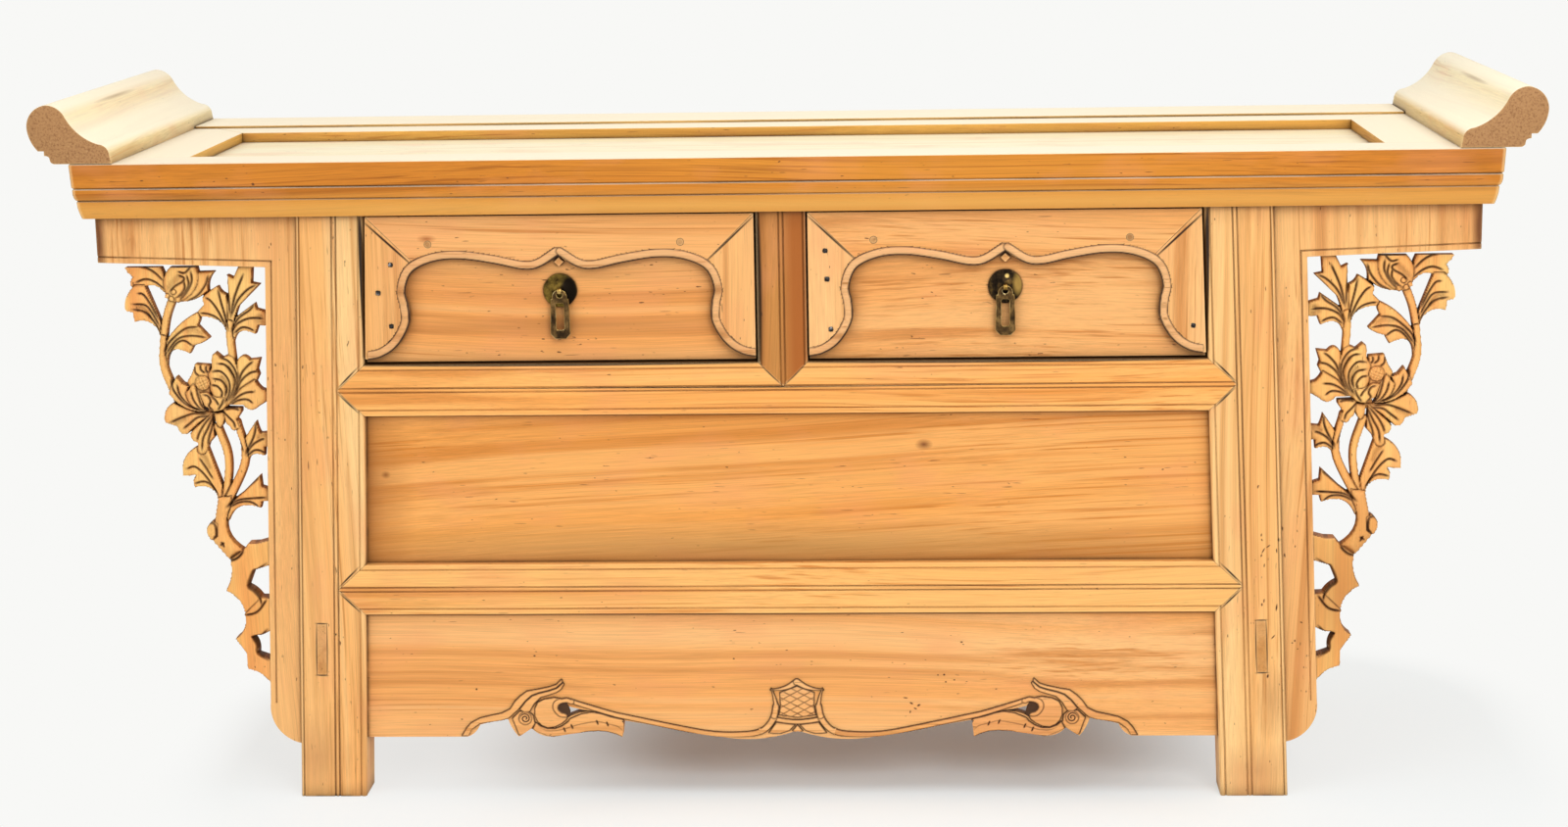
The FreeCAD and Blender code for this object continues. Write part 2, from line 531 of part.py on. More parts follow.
def rail_lines(top):
    middle, bottom = top - RAIL_HEIGHT / 2, top - RAIL_HEIGHT
    reach = leg_in(middle) + LEG_WIDTH
    return [rail_line(z, reach) for z in (middle - LINE_SPACING / 2, middle + LINE_SPACING / 2,
                                          bottom + EDGE_LINE, top - EDGE_LINE)]


def make_back_rail(top):
    bottom = top - RAIL_HEIGHT
    middle = (top + bottom) / 2
    body = slab([(-leg_in(top), top), (leg_in(top), top), (leg_in(bottom), bottom),
                 (-leg_in(bottom), bottom)], -RAIL_BACK, -FACE)
    reach = leg_in(middle) + RAIL_TENON_LENGTH
    tenon_y = -(FACE + RAIL_BACK) / 2
    tenon = block(-reach, reach, tenon_y - RAIL_TENON_THICK / 2, tenon_y + RAIL_TENON_THICK / 2,
                  middle - RAIL_TENON_HEIGHT / 2, middle + RAIL_TENON_HEIGHT / 2)
    return body.fuse(tenon).removeSplitter()


def make_post():
    """The post between the drawers: a mitred point on the rail below, tenons at both ends."""
    tip = MID_RAIL_TOP - POST_HALF
    face = slab([(-POST_HALF, UNDER_TOP), (POST_HALF, UNDER_TOP), (POST_HALF, MID_RAIL_TOP),
                 (0, tip), (-POST_HALF, MID_RAIL_TOP)], FACE, FACE + MITRE_DEPTH)
    body = block(-POST_HALF, POST_HALF, FACE + MITRE_DEPTH, RAIL_BACK, MID_RAIL_TOP, UNDER_TOP)
    tenon_y = FACE + (RECESS_FRONT - FACE) / 2
    tenon = block(-POST_HALF / 2, POST_HALF / 2, tenon_y - LEG_TENON_THICK / 2,
                  tenon_y + LEG_TENON_THICK / 2, MID_RAIL_TOP - POST_TENON, UNDER_TOP + POST_TENON)
    return face.fuse([body, tenon]).removeSplitter()


def post_lines():
    half, tip = LINE_WIDTH / 2, MID_RAIL_TOP - POST_HALF
    cutters = []
    for x in (-LINE_SPACING / 2, LINE_SPACING / 2, POST_HALF - OUTER_LINE, OUTER_LINE - POST_HALF):
        ring = [Vec(x - half, FACE - OVERRUN, tip), Vec(x - half, FACE, tip),
                Vec(x, FACE + LINE_DEPTH, tip), Vec(x + half, FACE, tip),
                Vec(x + half, FACE - OVERRUN, tip)]
        cutters.append(Part.Face(Part.makePolygon(ring + ring[:1])).extrude(
            Vec(0, 0, UNDER_TOP - tip)))
    return cutters


def make_case_panel(z0, z1, y0, top_tongue=CASE_TONGUE):
    """A panel between two legs and two rails, tongued on all four sides."""
    low, high = z0 - CASE_TONGUE, z1 + top_tongue
    points = [(-leg_in(low) - CASE_TONGUE, low), (leg_in(low) + CASE_TONGUE, low),
              (leg_in(high) + CASE_TONGUE, high), (-leg_in(high) - CASE_TONGUE, high)]
    return slab(points, y0, y0 + CASE_PANEL_THICK)


def make_side_rail(z0, z1, through):
    """A rail between the front and back legs. Through tenons show on the faces of the legs."""
    y = -LEG_INNER_FACE
    rail = leaning(SIDE_RAIL_INSET, SIDE_RAIL_INSET + SIDE_RAIL_THICK, z0, z1, -y, y)
    reach = -FACE if through else y + SIDE_TENON_LENGTH
    shoulder = (z1 - z0 - SIDE_LOW_TENON_HEIGHT) / 2 if through else SIDE_TENON_SHOULDER
    inset = SIDE_RAIL_INSET + (SIDE_RAIL_THICK - SIDE_TENON_THICK) / 2
    tenon = leaning(inset, inset + SIDE_TENON_THICK, z0 + shoulder, z1 - shoulder, -reach, reach)
    return rail.fuse(tenon).removeSplitter()


def make_side_panel(z0, z1):
    y = -LEG_INNER_FACE + CASE_TONGUE
    return leaning(SIDE_PANEL_INSET, SIDE_PANEL_INSET + CASE_PANEL_THICK,
                   z0 - CASE_TONGUE, z1 + CASE_TONGUE, -y, y)


def make_floor():
    """The floor of the hidden compartment, held in grooves in the low rails."""
    z0 = FLOOR_TOP - FLOOR_THICK
    y = -RAIL_BACK + CASE_TONGUE
    inset = SIDE_PANEL_INSET + CASE_PANEL_THICK
    points = [(-leg_out(z0) + inset, z0), (-leg_out(FLOOR_TOP) + inset, FLOOR_TOP),
              (leg_out(FLOOR_TOP) - inset, FLOOR_TOP), (leg_out(z0) - inset, z0)]
    return slab(points, -y, y)


def make_apron():
    """The shaped board under the low rail, pierced beside its two cloud scrolls."""
    top = LOW_RAIL_TOP - RAIL_HEIGHT
    height = top - APRON_BOTTOM

    def at(u, v, bulge, side):
        z = top - v * height
        return (side * u * leg_in(z) + APRON_SHIFT, z, bulge * side)

    right = [at(u, v, bulge, 1) for u, v, bulge in APRON_SHARES]
    left = [at(u, v, 0, -1) for u, v, _ in APRON_SHARES]
    for i in range(1, len(left)):
        x, z, _ = left[i]
        left[i] = (x, z, APRON_SHARES[i - 1][2])
    upper, lower = top + CASE_TONGUE, APRON_BOTTOM
    right_side = [(leg_in(lower) + CASE_TONGUE, lower, 0), (leg_in(upper) + CASE_TONGUE, upper, 0)]
    left_side = [(-x, z, 0) for x, z, _ in reversed(right_side)]
    outline = right + right_side + left_side + list(reversed(left[1:]))
    y0 = FACE + APRON_SETBACK
    board = bulged_slab(outline, y0, y0 + APRON_THICK)
    for side in (1, -1):
        hole = [at(u, v, bulge, side) for u, v, bulge in APRON_HOLE_SHARES]
        board = board.cut(bulged_slab(hole, y0 - OVERRUN, y0 + APRON_THICK + OVERRUN))
    return board


# The brackets and their carved spandrels

def make_bracket():
    """The L-shaped bracket: an arm under the top, and a leaning arm down the side of the leg."""
    y0 = FACE + BRACKET_SETBACK
    y1 = y0 + BRACKET_THICK
    arm_end = BRACKET_BOTTOM + BRACKET_ROUND
    points = [(leg_out(UNDER_TOP), UNDER_TOP, 0), (BRACKET_END, UNDER_TOP, 0),
              (BRACKET_END, UNDER_TOP - BRACKET_DROP_END, 0),
              (leg_out(CARVE_TOP) + BRACKET_ARM, CARVE_TOP, 0),
              (leg_out(arm_end) + BRACKET_ARM, arm_end, 0.2),
              (leg_out(BRACKET_BOTTOM), BRACKET_BOTTOM, 0)]
    bracket = bulged_slab(points, y0, y1)
    key_y = (y0 + y1) / 2 - BRACKET_KEY_THICK / 2
    side_key = leaning(-OVERRUN, BRACKET_KEY, arm_end, UNDER_TOP - BRACKET_KEY, key_y,
                       key_y + BRACKET_KEY_THICK)
    top_key = block(leg_out(UNDER_TOP) + BRACKET_KEY, BRACKET_END - BRACKET_ARM, key_y,
                    key_y + BRACKET_KEY_THICK, UNDER_TOP - OVERRUN, UNDER_TOP + BRACKET_KEY)
    bracket = bracket.fuse([side_key, top_key]).removeSplitter()
    half = LINE_WIDTH / 2
    down = [(leg_out(z) + BRACKET_ARM - BRACKET_LINE, z) for z in (CARVE_TOP + BRACKET_LINE, arm_end)]
    along = [down[0], (BRACKET_END + OVERRUN, UNDER_TOP - BRACKET_DROP_END + BRACKET_LINE)]
    for start, end in (down, along):
        direction = Vec(end[0] - start[0], 0, end[1] - start[1])
        across = Vec(-direction.z, 0, direction.x).normalize() * half
        foot = Vec(start[0], y0, start[1])
        out = Vec(0, -OVERRUN, 0)
        ring = [foot - across + out, foot - across, foot + Vec(0, LINE_DEPTH, 0), foot + across,
                foot + across + out]
        bracket = bracket.cut(Part.Face(Part.makePolygon(ring + ring[:1])).extrude(direction))
    return bracket


def carve_point(u, v):
    """A place on the spandrel, from shares out from the bracket's arm and down from its corner."""
    z = CARVE_TOP - v * CARVE_HEIGHT
    return Vec(leg_out(z) + BRACKET_ARM + u * CARVE_WIDTH, 0, z)


def share_face(shares):
    """A face whose outline is given in shares of the spandrel, its arcs through shares as well."""
    edges = []
    for (u0, v0, bulge), (u1, v1, _) in zip(shares, shares[1:] + shares[:1]):
        start, end = carve_point(u0, v0), carve_point(u1, v1)
        if abs(bulge) > 0:
            middle = carve_point((u0 + u1) / 2 + (v1 - v0) * bulge * CARVE_TALL_SHARE,
                                 (v0 + v1) / 2 - (u1 - u0) * bulge / CARVE_TALL_SHARE)
            edges.append(Part.Arc(start, middle, end).toShape())
        else:
            edges.append(Part.LineSegment(start, end).toShape())
    return Part.Face(Part.Wire(edges))


def make_stem_face(start, via, end, width_start, width_end):
    """A tapered stem about the arc through three places."""
    a, b, c = carve_point(*start), carve_point(*via), carve_point(*end)
    widths = [w * CARVE_WIDTH / 2 for w in (width_start, (width_start + width_end) / 2, width_end)]
    centre = Part.Arc(a, b, c).toShape().Curve.Center
    sides = [[], []]
    for point, half in zip((a, b, c), widths):
        outward = (point - centre).normalize() * half
        sides[0].append(point + outward)
        sides[1].append(point - outward)
    outer, inner = sides
    edges = [Part.Arc(*outer).toShape(), Part.LineSegment(outer[2], inner[2]).toShape(),
             Part.Arc(inner[2], inner[1], inner[0]).toShape(),
             Part.LineSegment(inner[0], outer[0]).toShape()]
    return Part.Face(Part.Wire(edges))


def make_disc_face(place, size_share):
    circle = Part.Circle(carve_point(*place), Vec(0, 1, 0), size_share * CARVE_WIDTH)
    return Part.Face(Part.Wire(circle.toShape()))


def raise_faces(faces, thick):
    """Joins overlapping faces and raises them from the carving's back towards the front."""
    joined = faces[0].fuse(faces[1:]).removeSplitter() if len(faces) > 1 else faces[0]
    back = FACE + BRACKET_SETBACK + CARVE_SETBACK + CARVE_HEART
    prisms = []
    for face in joined.Faces:
        lifted = face.copy()
        lifted.translate(Vec(0, back, 0))
        prisms.append(lifted.extrude(Vec(0, -thick, 0)))
    return prisms


def make_spandrel(bracket):
    """A pierced peony on its rocks: stems and leaves, then inner petals, then heart and rocks."""
    inner = [share_face(petal) for petal in INNER_PETAL_SHARES + [BUD_SHARES]]
    heart = [share_face(CURL_SHARES), make_disc_face(SEED_PLACE, SEED_SIZE_SHARE)]
    rocks = [share_face(rock) for rock in ROCK_SHARES]
    base = [make_stem_face(*stem) for stem in STEMS]
    base += [share_face(outline) for outline in LEAF_SHARES + OUTER_PETAL_SHARES]
    base += [share_face(TRUNK_SHARES), share_face(KNOB_SHARES)] + inner + heart
    layers = raise_faces(base, CARVE_BASE) + raise_faces(inner, CARVE_MIDDLE)
    layers += raise_faces(heart + rocks, CARVE_HEART)
    carving = layers[0].fuse(layers[1:]).removeSplitter()
    below_arm = block(0, TOP_LENGTH, FACE, -FACE, 0, CARVE_TOP + OVERRUN)
    return carving.common(below_arm).cut(bracket)


# The drawers

DRAWER_LOW = MID_RAIL_TOP + DRAWER_GAP
DRAWER_HIGH = UNDER_TOP - DRAWER_GAP
PULL_HEIGHT = DRAWER_HIGH - PULL_DROP
DRAWER_INNER = POST_HALF + DRAWER_GAP
DRAWER_MIDDLE = (DRAWER_LOW + DRAWER_HIGH) / 2
DRAWER_CENTRE = (DRAWER_INNER + leg_in(DRAWER_MIDDLE) - DRAWER_GAP) / 2
DRAWER_HALF = DRAWER_CENTRE - DRAWER_INNER


def front_outline(y0, y1):
    """The outline of a drawer front, whose outer edge follows the leg."""
    points = [(DRAWER_INNER, DRAWER_LOW), (leg_in(DRAWER_LOW) - DRAWER_GAP, DRAWER_LOW),
              (leg_in(DRAWER_HIGH) - DRAWER_GAP, DRAWER_HIGH), (DRAWER_INNER, DRAWER_HIGH)]
    return slab(points, y0, y1)


def make_drawer_box():
    """The drawer's front board, two sides, back and bottom, all jointed to each other."""
    y_front = DRAWER_FACE + DRAWER_FRONT_THICK
    y_back = BACK_PANEL_FRONT - DRAWER_BACK_GAP
    z0 = MID_RAIL_TOP + RUN_GAP
    z1 = UNDER_TOP - DRAWER_SIDE_DROP
    outer = leg_in(UNDER_TOP) - DRAWER_GAP
    bottom_z = z0 + DRAWER_BOTTOM_RISE
    inside = (DRAWER_INNER + DRAWER_SIDE_THICK, outer - DRAWER_SIDE_THICK)
    sides = [block(x, x + DRAWER_SIDE_THICK, y_front - DRAWER_JOINT, y_back, z0, z1)
             for x in (DRAWER_INNER, inside[1])]
    back = block(inside[0] - DRAWER_GROOVE, inside[1] + DRAWER_GROOVE, y_back - DRAWER_BACK_THICK,
                 y_back, bottom_z + DRAWER_BOTTOM_THICK, z1)
    bottom = block(inside[0] - DRAWER_GROOVE, inside[1] + DRAWER_GROOVE, y_front - DRAWER_GROOVE,
                   y_back, bottom_z, bottom_z + DRAWER_BOTTOM_THICK)
    sides = [side.cut(back).cut(bottom) for side in sides]
    front = front_outline(DRAWER_FACE, y_front).cut(bottom)
    for side in sides:
        front = front.cut(side)
    return front, sides, back, bottom


def arch_curve(grow):
    """Right half of the trim's cusped edge, moved outwards by grow."""
    height = DRAWER_HIGH - DRAWER_LOW
    half = [Vec(DRAWER_CENTRE + u * DRAWER_HALF, 0, DRAWER_HIGH - v * height)
            for u, v in ARCH_SHARES]
    curve = Part.BSplineCurve()
    curve.interpolate(half)
    moved = []
    for point in half:
        tangent = curve.tangent(curve.parameter(point))[0]
        moved.append(point - Vec(tangent.z, 0, -tangent.x) * grow)
    if grow:
        cusp = moved[-1]
        moved[-1] = Vec(DRAWER_CENTRE, 0, cusp.z + abs(cusp.x - DRAWER_CENTRE) / 2)
    curve.interpolate(moved)
    return curve


def arch_region(grow, y0, y1):
    """Everything below the cusped edge, as a cutter drawn in arcs."""
    curve = arch_curve(grow)
    right = [arc.toShape() for arc in curve.toBiArcs(ARCH_TOLERANCE)]
    middle = Vec(DRAWER_CENTRE, 0, 0)
    left = [edge.mirror(middle, Vec(1, 0, 0)) for edge in right]
    first = curve.value(curve.FirstParameter)
    last = Vec(2 * DRAWER_CENTRE - first.x, 0, first.z)
    low, out = DRAWER_LOW - OVERRUN, Vec(OVERRUN, 0, 0)
    corners = [last, last - out, Vec(last.x - OVERRUN, 0, low), Vec(first.x + OVERRUN, 0, low),
               first + out, first]
    edges = right + left + [Part.LineSegment(a, b).toShape() for a, b in zip(corners, corners[1:])]
    face = Part.Face(Part.Wire(Part.__sortEdges__(edges)))
    face.translate(Vec(0, y0, 0))
    return face.extrude(Vec(0, y1 - y0, 0))


def make_trim():
    """The mitred trim in three pieces, with a sunk bead along its cusped edge."""
    trim = front_outline(TRIM_FACE, DRAWER_FACE)
    trim = trim.cut(arch_region(0, TRIM_FACE - OVERRUN, DRAWER_FACE + OVERRUN))
    trim = trim.cut(arch_region(TRIM_BEAD, TRIM_FACE - OVERRUN, TRIM_FACE + TRIM_BEAD_DROP))
    left, right = DRAWER_INNER, leg_in(DRAWER_HIGH) - DRAWER_GAP
    low = DRAWER_HIGH - TRIM_MITRE
    above = slab([(left, DRAWER_HIGH), (left + TRIM_MITRE, low), (right - TRIM_MITRE, low),
                  (right, DRAWER_HIGH)], TRIM_FACE - OVERRUN, DRAWER_FACE + OVERRUN)
    middle = block(DRAWER_CENTRE, TOP_HALF, TRIM_FACE - OVERRUN, DRAWER_FACE + OVERRUN, 0, UNDER_TOP)
    stiles = trim.cut(above)
    z = DRAWER_HIGH - LOZENGE_DROP_SHARE * (DRAWER_HIGH - DRAWER_LOW)
    s = LOZENGE_SIZE / 2
    lozenge = slab([(DRAWER_CENTRE - s, z), (DRAWER_CENTRE, z - s), (DRAWER_CENTRE + s, z),
                    (DRAWER_CENTRE, z + s)], DRAWER_FACE - LOZENGE_THICK, DRAWER_FACE)
    top = trim.common(above)
    return top, lozenge, stiles.cut(middle), stiles.common(middle)


def make_pins(nail_shares, side):
    """Forged square nails and wooden plugs in the trim, at shares from the left and the top."""
    def place(share):
        across = 2 * share[0] - 1 if side > 0 else 1 - 2 * share[0]
        height = DRAWER_HIGH - share[1] * (DRAWER_HIGH - DRAWER_LOW)
        return DRAWER_CENTRE + across * DRAWER_HALF, height

    half = NAIL_SIZE / 2
    pins = []
    for x, z in map(place, nail_shares):
        pins.append(block(x - half, x + half, TRIM_FACE - NAIL_PROUD, TRIM_FACE + NAIL_LENGTH,
                          z - half, z + half))
    for x, z in map(place, PLUG_SHARES):
        pins.append(Part.makeCylinder(PLUG_RADIUS, PLUG_LENGTH, Vec(x, TRIM_FACE, z),
                                      Vec(0, 1, 0)))
    return pins


def make_plate():
    """A round backplate, beaten up into a low boss in its middle."""
    out = Vec(0, -1, 0)
    rim = Part.makeCylinder(PLATE_RADIUS, PLATE_THICK, Vec(0, 0, 0), out)
    boss = Part.makeCone(PLATE_RIM, PLATE_BOSS, PLATE_DOME, out * PLATE_THICK, out)
    plate = rim.fuse(boss).removeSplitter()
    plate.translate(Vec(DRAWER_CENTRE, DRAWER_FACE, PULL_HEIGHT))
    return plate


PLATE_FACE = DRAWER_FACE - PLATE_THICK - PLATE_DOME
EYE_Y = PLATE_FACE - EYE_STAND


def make_staple():
    """The strap that carries the drop: an eye on a shank clinched behind the drawer front."""
    half = EYE_WIDTH / 2
    start, centre = DRAWER_CENTRE - half, Vec(DRAWER_CENTRE - half, EYE_Y, PULL_HEIGHT)
    across = Vec(1, 0, 0)
    inner = EYE_RADIUS - EYE_STRAP
    eye = Part.makeCylinder(EYE_RADIUS, EYE_WIDTH, centre, across)
    inside = DRAWER_FACE + DRAWER_FRONT_THICK
    shank = block(start, start + EYE_WIDTH, EYE_Y, inside + SHANK_THICK,
                  PULL_HEIGHT - SHANK_HEIGHT / 2, PULL_HEIGHT + SHANK_HEIGHT / 2)
    clinch = block(start, start + EYE_WIDTH, inside, inside + SHANK_THICK,
                   PULL_HEIGHT - CLINCH_LENGTH, PULL_HEIGHT + CLINCH_LENGTH)
    hollow = Part.makeCylinder(inner, EYE_WIDTH, centre, across)
    return eye.fuse([shank, clinch]).removeSplitter().cut(hollow)


def make_drop():
    """The hanging pull: an arched, eyed head on square shoulders, a slot, and a chamfered foot."""
    y0, y1 = EYE_Y - DROP_THICK / 2, EYE_Y + DROP_THICK / 2
    x, half = DRAWER_CENTRE, EYE_WIDTH / 2
    web = math.sqrt((EYE_RADIUS - EYE_STRAP - EYE_PLAY) ** 2 - (DROP_THICK / 2) ** 2)
    hole_z = PULL_HEIGHT - web - math.sqrt(DROP_HOLE ** 2 - half ** 2)
    top = PULL_HEIGHT + web
    foot, shoulder = top - DROP_LENGTH, top - HEAD_HEIGHT
    arch = HEAD_HEIGHT / (2 * HEAD_HALF)
    points = [(x - HEAD_HALF, shoulder, arch), (x + HEAD_HALF, shoulder, 0),
              (x + SHOULDER_HALF, shoulder, 0), (x + FOOT_HALF, foot + FOOT_CHAMFER, 0),
              (x + FOOT_HALF - FOOT_CHAMFER, foot, 0), (x - FOOT_HALF + FOOT_CHAMFER, foot, 0),
              (x - FOOT_HALF, foot + FOOT_CHAMFER, 0), (x - SHOULDER_HALF, shoulder, 0)]
    drop = bulged_slab(points, y0, y1)
    hole = Part.makeCylinder(DROP_HOLE, DROP_THICK + 2 * OVERRUN, Vec(x, y0 - OVERRUN, hole_z),
                             Vec(0, 1, 0))
    r, slot_foot = SLOT_WIDTH / 2, foot + SLOT_RISE
    slot = bulged_slab([(x - r, slot_foot, 0), (x + r, slot_foot, 0),
                        (x + r, slot_foot + SLOT_LENGTH, 0), (x - r, slot_foot + SLOT_LENGTH, 0)],
                       y0 - OVERRUN, y1 + OVERRUN)
    slot = slot.makeFillet(r / 2, [e for e in slot.Edges if e.Vertexes[0].Y != e.Vertexes[1].Y])
    return drop.cut(hole).cut(slot)


def make_runners():
    """Bearers under the drawers, from front rail to back rail, with guides beside the drawers."""
    y = -RAIL_BACK
    z0 = MID_RAIL_TOP - RUNNER_HEIGHT
    tenon = block(-RUNNER_WIDTH / 2, RUNNER_WIDTH / 2, -y - RUNNER_TENON, y + RUNNER_TENON,
                  z0 + RUNNER_HEIGHT / 3, MID_RAIL_TOP - RUNNER_HEIGHT / 3)
    guide_half = DRAWER_INNER - GUIDE_GAP
    centre_half = guide_half + RUNNER_WIDTH / 2
    centre = block(-centre_half, centre_half, -y, y, z0, MID_RAIL_TOP)
    centre_guide = block(-guide_half, guide_half, -y, y, MID_RAIL_TOP, MID_RAIL_TOP + GUIDE_HEIGHT)
    centre = centre.fuse([centre_guide, tenon]).removeSplitter()
    guide_x = leg_in(UNDER_TOP) - DRAWER_GAP + GUIDE_GAP
    x0 = guide_x - RUNNER_WIDTH / 2
    x1 = leg_out(MID_RAIL_TOP) - SIDE_RAIL_INSET - SIDE_RAIL_THICK
    outer = slab([(x0, z0), (leg_out(z0) - SIDE_RAIL_INSET - SIDE_RAIL_THICK, z0),
                  (x1, MID_RAIL_TOP), (x0, MID_RAIL_TOP)], -y, y)
    inset = SIDE_PANEL_INSET + CASE_PANEL_THICK
    high = MID_RAIL_TOP + GUIDE_HEIGHT
    outer_guide = slab([(guide_x, MID_RAIL_TOP), (x1, MID_RAIL_TOP),
                        (leg_out(high) - max(inset, SIDE_RAIL_INSET + SIDE_RAIL_THICK), high),
                        (guide_x, high)], -y, y)
    outer_tenon = tenon.copy()
    outer_tenon.translate(Vec(x0 + RUNNER_WIDTH / 2, 0, 0))
    outer = outer.fuse([outer_guide, outer_tenon]).removeSplitter()
    return centre, outer


def cut_all(shape, tools):
    for tool in tools:
        shape = shape.cut(tool)
    return shape


def both(shape):
    return [shape, mirrored(shape)]


def build():
    """Makes every piece, lets the joints into their neighbours, and returns them by name."""
    pieces = {}
    front_top, back_top, end_top, top_panel = make_top_frame()
    batten_x = (leg_out(UNDER_TOP) - SIDE_RAIL_INSET - SIDE_RAIL_THICK / 2)
    battens = [make_batten(x) for x in (-batten_x, 0, batten_x)]
    flange = make_flange()
    end_top = end_top.cut(flange)
    mid_rail, low_rail = make_front_rail(MID_RAIL_TOP), make_front_rail(LOW_RAIL_TOP)
    back_mid, back_low = make_back_rail(MID_RAIL_TOP), make_back_rail(LOW_RAIL_TOP)
    post = make_post()
    mid_under, low_under = MID_RAIL_TOP - RAIL_HEIGHT, LOW_RAIL_TOP - RAIL_HEIGHT
    front_panel = make_case_panel(LOW_RAIL_TOP, mid_under, PANEL_FACE)
    back_lower = make_case_panel(LOW_RAIL_TOP, mid_under, BACK_PANEL_FRONT)
    back_upper = make_case_panel(MID_RAIL_TOP, UNDER_TOP, BACK_PANEL_FRONT)
    apron = make_apron()
    bracket = make_bracket()
    side_top = make_side_rail(UNDER_TOP - SIDE_TOP_HEIGHT, UNDER_TOP, False)
    side_mid = make_side_rail(mid_under, MID_RAIL_TOP, False)
    side_low = make_side_rail(SIDE_LOW_TOP - SIDE_LOW_HEIGHT, SIDE_LOW_TOP, True)
    side_upper = make_side_panel(MID_RAIL_TOP, UNDER_TOP - SIDE_TOP_HEIGHT)
    side_lower = make_side_panel(SIDE_LOW_TOP, mid_under)
    centre_runner, outer_runner = make_runners()

    # Tongues and tenons are let into the pieces that hold them
    front_leg = make_leg()
    back_leg = front_leg.mirror(Vec(0, 0, 0), Vec(0, 1, 0))
    floor = make_floor()
    side_rails = [side_top, side_mid, side_low]
    side_panels = [side_upper, side_lower]
    side_top, side_mid, side_low = [cut_all(rail, side_panels) for rail in side_rails]
    mid_rail = cut_all(mid_rail, [front_panel, post, centre_runner] + both(outer_runner))
    low_rail = cut_all(low_rail, [front_panel, apron, floor])
    back_mid = cut_all(back_mid, [back_lower, back_upper, centre_runner] + both(outer_runner))
    back_low = cut_all(back_low, [back_lower, floor])
    held_by_legs = [side_top, side_mid, side_low] + side_panels
    front_leg = cut_all(front_leg, held_by_legs + [mid_rail, low_rail, front_panel, apron, bracket])
    back_leg = cut_all(back_leg, held_by_legs + [back_mid, back_low, back_lower, back_upper])
    floor = cut_all(floor, both(front_leg) + both(back_leg))
    outer_runner = cut_all(outer_runner, [front_leg, back_leg])
    battens = [cut_all(batten, both(front_leg) + both(back_leg) + [post]) for batten in battens]
    front_top = cut_all(front_top, battens + both(front_leg) + both(bracket) + both(flange) + [post])
    back_top = cut_all(back_top, battens + both(back_leg) + both(flange) + [back_upper])
    spandrel = make_spandrel(bracket)

    # The incised lines come last, on the faces of the joined pieces
    front_leg = cut_all(front_leg, leg_lines())
    mid_rail = cut_all(mid_rail, rail_lines(MID_RAIL_TOP))
    low_rail = cut_all(low_rail, rail_lines(LOW_RAIL_TOP))
    post = cut_all(post, post_lines())

    for name, shape in (("top_rail", end_top), ("flange", flange), ("front_leg", front_leg),
                        ("back_leg", back_leg), ("bracket", bracket), ("spandrel", spandrel),
                        ("side_rail_top", side_top), ("side_rail_mid", side_mid),
                        ("side_rail_low", side_low), ("side_panel_upper", side_upper),
                        ("side_panel_lower", side_lower)):
        pieces[name + "_right"] = [shape]
        pieces[name + "_left"] = [mirrored(shape)]
    for name, shape in (("top_rail_front", front_top), ("top_rail_back", back_top),
                        ("top_panel", top_panel), ("mid_rail", mid_rail), ("low_rail", low_rail),
                        ("drawer_post", post), ("front_panel", front_panel),
                        ("front_apron", apron), ("back_rail_mid", back_mid),
                        ("back_rail_low", back_low), ("back_panel_lower", back_lower),
                        ("back_panel_upper", back_upper), ("compartment_floor", floor)):
        pieces[name] = [shape]
    pieces["top_battens"] = battens
    pieces["drawer_runners"] = [centre_runner] + both(outer_runner)

    front, sides, back, bottom = make_drawer_box()
    trim_top, lozenge, trim_inner, trim_outer = make_trim()
    plate, staple, drop = make_plate(), make_staple(), make_drop()
    front, plate = front.cut(staple), plate.cut(staple)
    for side, word in ((1, "right"), (-1, "left")):
        pins = make_pins(RIGHT_NAIL_SHARES if side > 0 else LEFT_NAIL_SHARES, side)
        drawer = {
            "front": [cut_all(front, pins)], "sides": sides, "back": [back], "bottom": [bottom],
            "trim_top": [cut_all(trim_top, pins), lozenge],
            "trim_stile_inner": [cut_all(trim_inner, pins)],
            "trim_stile_outer": [cut_all(trim_outer, pins)],
            "trim_pins": pins, "pull_plate": [plate], "pull_staple": [staple],
            "pull_drop": [drop],
        }
        for name, shapes in drawer.items():
            placed = shapes if side > 0 else [mirrored(shape) for shape in shapes]
            pieces["drawer_" + word + "_" + name] = placed
    return pieces


def main():
    os.makedirs("parts", exist_ok=True)
    for name, shapes in build().items():
        solids = [solid for shape in shapes for solid in shape.Solids]
        shape = solids[0] if len(solids) == 1 else Part.makeCompound(solids)
        shape.exportStep("parts/" + name + ".step")
        valid = all(solid.isValid() for solid in solids)
        print("%-32s %2d solid(s) %10.0f mm3 %s" % (
            name, len(solids), shape.Volume, "" if valid else "NOT VALID"))


main()
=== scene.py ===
"""Looks for the altar coffer: stripped, sun-bleached softwood on a pale studio floor."""

import math

import bmesh
import bpy
import numpy as np
from mathutils import Matrix, Vector


